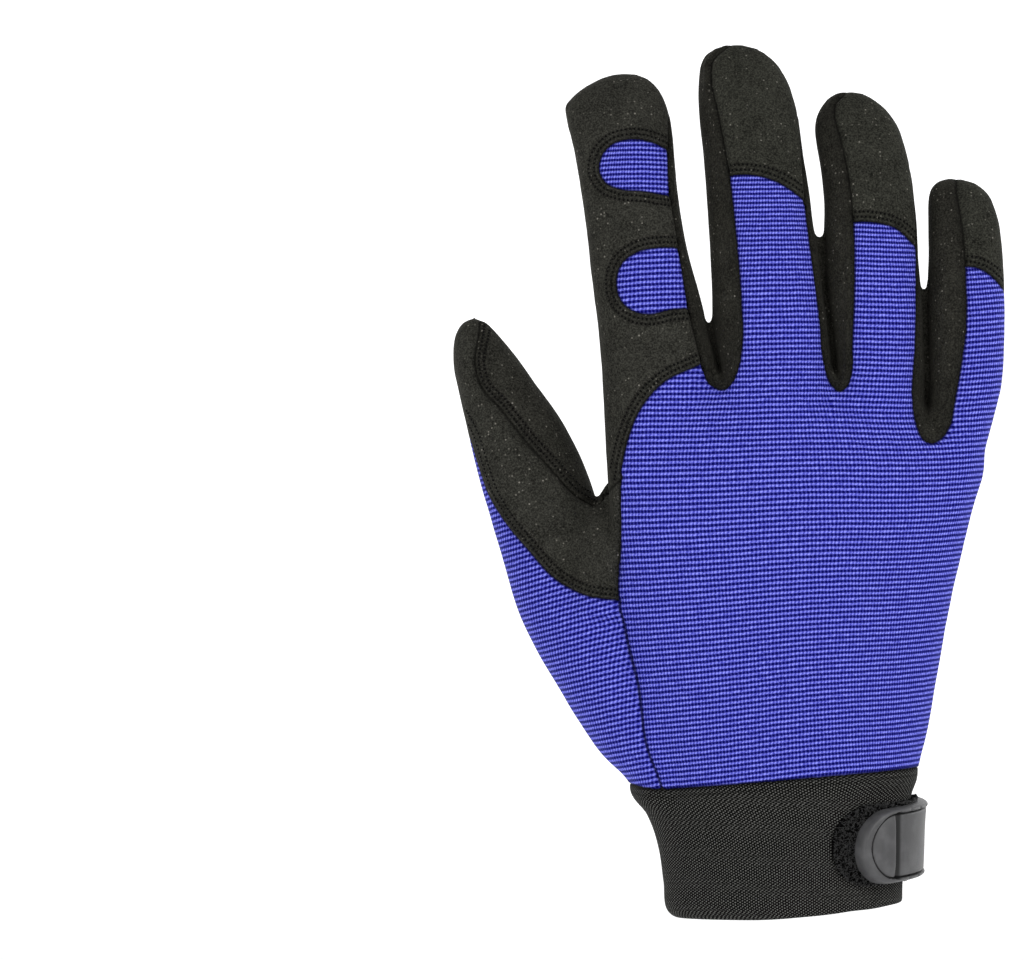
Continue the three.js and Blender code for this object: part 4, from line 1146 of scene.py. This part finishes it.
# Painted shade: the elastic goes darker just below the seam, in the shadow of the hand's lower edge that
# overlaps it.
tucked_shade = 1 - gap.rise(0.3, 1.3)
sewn_line = 1 - abs(gap - 2.2).rise(0.1, 0.5)
colour = elastic.mix((tucked_shade * 0.7).most(sewn_line * 0.35), colour, (0.002, 0.002, 0.002, 1))
height = yarn * 0.00014 + fibre * 0.00005 - sewn_line * 0.00015
dress(cuff, elastic.skin(height, Base_Color=colour, Roughness=0.9, Specular_IOR_Level=0.04, Sheen_Weight=0.02,
                         Sheen_Roughness=0.4), "cuff")

# The loop patch: the soft half of the hook-and-loop fastening, a black brushed tape with round ends sewn flat
# on the cuff. Its pile of tiny loops shows as a fuzzy edge round the pull tab.
PATCH = {"start": -70, "end": 46, "up": 22.1, "high": 22.4, "lift": 0.25, "round": 11, "tilt": 4.2, "lean": 0}
TAB = {"start": -59.5, "end": 42, "up": 22, "high": 20.8, "lift": 2.9, "round": 10, "tilt": 5, "lean": 0.05}


def strap_path(strap):
    """Angles along the strap's middle line, and how far along it each one is."""
    angles = np.radians(np.linspace(strap["start"], strap["end"], 401))
    return angles, run_along(cuff_spot(angles, np.full(401, strap["up"]), strap["lift"]))


def strap_outline(strap):
    """The strap's outline laid flat, along it and across it, with a round at both ends, and its length."""
    long, half = strap_path(strap)[1][-1], strap["high"] / 2
    turn = np.linspace(math.pi / 2, 3 * math.pi / 2, 33)
    left = np.column_stack([strap["round"] + strap["round"] * np.cos(turn), half * np.sin(turn)])
    return np.vstack([left, np.column_stack([long - left[:, 0], -left[:, 1]])]), long


def on_strap(strap, along, across, out):
    """Flat places on the strap, bent round the cuff."""
    angles, run = strap_path(strap)
    up = strap["up"] + strap["tilt"] * (along / run[-1] - 0.5) + across
    lift = strap["lift"] + strap["lean"] * (strap["up"] - up)
    return cuff_spot(np.interp(along, run, angles), up, lift + out)


def strap_sheet(strap, step):
    """An even flat sheet of triangles cut to the strap's outline."""
    outline, long = strap_outline(strap)
    bpy.ops.mesh.primitive_grid_add(x_subdivisions=int(long / step), y_subdivisions=int(strap["high"] / step),
                                    size=1, location=(0, 0, 0))
    grid = bpy.context.object
    bpy.ops.object.mode_set(mode="EDIT")
    bpy.ops.mesh.quads_convert_to_tris(quad_method="FIXED")
    bpy.ops.object.mode_set(mode="OBJECT")
    flat = np.empty(3 * len(grid.data.vertices))
    grid.data.vertices.foreach_get("co", flat)
    flat = flat.reshape(-1, 3)
    faces = np.array([tuple(face.vertices) for face in grid.data.polygons])
    bpy.data.objects.remove(grid)
    flat = np.column_stack([(flat[:, 0] + 0.5) * (long + 0.6) - 0.3, np.zeros(len(flat)),
                            flat[:, 1] * (strap["high"] + 0.6)])
    flat, faces = cut(flat, faces, lambda p: inside_by(outline, p), 0.08)
    flat, faces = trimmed(flat, faces[inside_by(outline, flat[faces].mean(1)) > 0])
    return flat, faces, outline, long


flat, faces, patch_outline, patch_long = strap_sheet(PATCH, 0.8)
rim = np.maximum(inside_by(patch_outline, flat), 0)
tuft = np.array([noise.noise(Vector((x * 0.9, z * 0.9, 3))) for x, _, z in flat])
top = on_strap(PATCH, flat[:, 0], flat[:, 2], 0.5 + 0.75 * (1 - bell(rim, 0.8)) + 0.12 * tuft)
patch = mesh_from("loop_tape", *closed_between(top, on_strap(PATCH, flat[:, 0], flat[:, 2], 0.0), faces))
outward_solid(patch)
bpy.ops.object.shade_smooth_by_angle(angle=math.radians(50))
pile = Finish("loop_pile")
curl = pile.grain(0.0007, 3.0, rough=0.75)
pile_colour = pile.mix(curl.rise(0.4, 0.75), (0.0003, 0.0003, 0.0003, 1), (0.011, 0.011, 0.011, 1))
dress(patch, pile.skin(curl * 0.0007, Base_Color=pile_colour, Roughness=0.95, Specular_IOR_Level=0.02),
      "loop_patch")

LOOPS = 1500
LOOP_THREAD = 0.085
random_places = np.random.default_rng(7)
tab_outline = strap_outline(TAB)[0]
tab_start = np.interp(math.radians(TAB["start"]), *strap_path(PATCH))
spots = random_places.uniform((0, -12.2), (patch_long, 12.2), (5200, 2))
probe = np.column_stack([spots[:, 0], np.zeros(len(spots)), spots[:, 1]])
in_patch = inside_by(patch_outline, probe) > -0.15
under_tab = inside_by(tab_outline, probe - (tab_start, 0, -0.3)) > 1.2
bend, turn = np.linspace(-0.15, math.pi + 0.15, 7), np.arange(4) * math.pi / 2
faces = tube_faces(len(bend), len(turn), capped=True)
all_loops = []
for along, across in spots[in_patch & ~under_tab][:LOOPS]:
    heading, size = random_places.uniform(0, math.pi), random_places.uniform(0.3, 0.55)
    lean = random_places.uniform(-0.6, 0.6)
    arc_out = size * np.sin(bend) * 1.3 + 0.95
    arc_in = size * np.cos(bend) + lean * size * np.sin(bend)
    ring_in = (arc_in[:, None] + LOOP_THREAD * np.cos(turn) * np.cos(bend)[:, None]).ravel()
    ring_out = (arc_out[:, None] + LOOP_THREAD * np.cos(turn) * np.sin(bend)[:, None]).ravel()
    ring_side = np.tile(LOOP_THREAD * np.sin(turn), len(bend))
    all_loops.append((on_strap(
        PATCH, along + ring_in * math.cos(heading) - ring_side * math.sin(heading),
        across + ring_in * math.sin(heading) + ring_side * math.cos(heading), ring_out), faces))
loops = mesh_from("loop_pile", *joined(all_loops))
outward_solid(loops)
bpy.ops.object.shade_smooth()
yarn_black = Finish("loop_yarn")
yarn_bump = (yarn_black.grain(0.0003, 1.0) - 0.5) * 0.00005
dress(loops, yarn_black.skin(yarn_bump, Base_Color=(0.016, 0.016, 0.016, 1), Roughness=0.45,
                             Specular_IOR_Level=0.5))

# The pull tab: satin black rubber moulded in one with a raised rim round its end, a raised thumb pad shaped
# like a D inside it, a groove across and a plain middle panel. Hooks on its underside hold the loop patch.
TAB_GROOVE_X = 30.2
NOTCH_PITCH = 4.4
flat, faces, _, _ = strap_sheet(TAB, 0.3)
along, across = flat[:, 0], flat[:, 2]
rim = np.maximum(inside_by(tab_outline, flat), 0)
angles, run = strap_path(TAB)
crest = cuff_spot(angles, np.full(401, TAB["up"]), TAB["lift"] + 2.0)[:, 0]
groove_at = np.interp(TAB_GROOVE_X, crest[:200], run[:200])
near_end = 1 - ease(along, groove_at - 1.2, groove_at + 0.4)
rim_wide = 1.45 + 1.3 * (1 - ease(along, 2.5, 10)) * near_end
height = 2.55 * np.sqrt(1 - (1 - np.clip(rim / 1.1, 0, 1)) ** 2)
moat = bell(rim - rim_wide - 0.2, 0.22)
inner = ease(rim, rim_wide + 0.15, rim_wide + 0.75)
height += -0.35 * inner + 0.3 * near_end * ease(rim, rim_wide + 0.4, rim_wide + 3.5) - 1.0 * moat
groove = bell(along - groove_at, 0.85) * ease(rim, 0.9, 1.5)
height -= 1.5 * groove
notch_off = np.mod(along - groove_at + NOTCH_PITCH / 2, NOTCH_PITCH) - NOTCH_PITCH / 2
notches = bell(notch_off, 0.3) * ease(along, groove_at, groove_at + 2)
height -= 0.5 * notches * (1 - ease(rim, 1.3, 1.9)) * ease(rim, 0.5, 0.9)
top = on_strap(TAB, along, across, height)
under = on_strap(dict(TAB, lean=0), along, across, np.full(len(along), -1.3))
tab = mesh_from("pull_tab", *closed_between(top, under, faces))
note(tab, "hollow", np.tile(np.maximum(groove, moat), 2))
outward_solid(tab)
bpy.ops.object.shade_smooth_by_angle(angle=math.radians(55))
rubber = Finish("satin_rubber")
mottle = rubber.grain(0.004, 3.0)
fine = rubber.grain(0.00022, 2.0)
rubber_colour = rubber.mix(mottle.rise(0.35, 0.7), (0.05, 0.05, 0.052, 1), (0.075, 0.075, 0.078, 1))
# Painted shade: the rubber goes nearly black in the groove across the tab and in the moat round the D.
hollow_shade = rubber.mark("hollow").rise(0.12, 0.5) * 0.95
rubber_colour = rubber.mix(hollow_shade, rubber_colour, (0.002, 0.002, 0.002, 1))
dress(tab, rubber.skin(fine * 0.00003, Base_Color=rubber_colour, Roughness=mottle * 0.12 + 0.4,
                       Specular_IOR_Level=0.5), "strap_tab")

# Studio: a pale seamless sweep behind and under the glove, a large soft light from the upper right, a weaker
# one from the left, two faint ones from behind for the edges, and a long lens square to the back of the hand.
PIXEL = 0.28 * MM
FRAME_WIDE, FRAME_HIGH = 1024, 960
ORIGIN_ACROSS, ORIGIN_DOWN = 788, 917  # where the glove's origin is in the frame
view_x, view_z = (FRAME_WIDE / 2 - ORIGIN_ACROSS) * PIXEL, (ORIGIN_DOWN - FRAME_HIGH / 2) * PIXEL
FAR = 2.4
lens = bpy.data.cameras.new("camera")
lens.sensor_width = 36
lens.lens = lens.sensor_width * FAR / (FRAME_WIDE * PIXEL)
lens.clip_start, lens.clip_end = 0.05, 20
camera = bpy.data.objects.new("camera", lens)
camera.location = (view_x, -FAR, view_z)
camera.rotation_euler = (math.pi / 2, 0, 0)
bpy.context.scene.collection.objects.link(camera)
bpy.context.scene.camera = camera


def soft_light(name, at, aim, size, power):
    lamp = bpy.data.lights.new(name, "AREA")
    lamp.shape, lamp.size, lamp.energy = "SQUARE", size, power
    lamp_object = bpy.data.objects.new(name, lamp)
    lamp_object.location = at
    lamp_object.rotation_euler = (Vector(aim) - Vector(at)).to_track_quat("-Z", "Y").to_euler()
    bpy.context.scene.collection.objects.link(lamp_object)


middle = (view_x + 0.06, 0, view_z)
soft_light("key", (0.95, -1.25, 0.95), middle, 0.9, 13)
soft_light("fill", (-1.0, -1.3, 0.5), middle, 1.1, 7)
soft_light("edge_right", (0.9, 0.45, 0.5), middle, 0.7, 3)
soft_light("edge_left", (-0.95, 0.45, 0.4), middle, 0.7, 2)

world = bpy.data.worlds.new("studio")
world.use_nodes = True
world.node_tree.nodes["Background"].inputs["Color"].default_value = (1, 1, 1, 1)
world.node_tree.nodes["Background"].inputs["Strength"].default_value = 0.45
bpy.context.scene.world = world
bpy.context.scene.view_settings.view_transform = "Standard"

profile = [(-3, -0.001), (2.7, -0.001), (3.0, 0.03), (3.2, 0.15), (3.35, 0.4), (3.4, 0.9), (3.4, 3.2)]
sweep_line = through([[y, z] for y, z in profile], 6)
sweep_points = np.vstack([np.column_stack([np.full(len(sweep_line), x), sweep_line]) for x in (-5, 5)]) / MM
n = len(sweep_line)
lower = np.arange(n - 1)
sweep_faces = np.vstack([np.column_stack([lower, lower + n, lower + n + 1]),
                         np.column_stack([lower, lower + n + 1, lower + 1])])
sweep = mesh_from("sweep", sweep_points, sweep_faces)
use(sweep)
bpy.ops.object.shade_smooth()
paper = Finish("sweep_paper")
further_back = paper.add("ShaderNodeSeparateXYZ", None, {0: paper.place()})["Y"].rise(0.7, 2.4)
glow = paper.mix(further_back, (0.25, 0.25, 0.25, 1), (0.66, 0.66, 0.66, 1))
sweep.data.materials.append(paper.skin(Base_Color=(0.9, 0.9, 0.9, 1), Roughness=0.9,
                                       Emission_Color=glow, Emission_Strength=1.0))
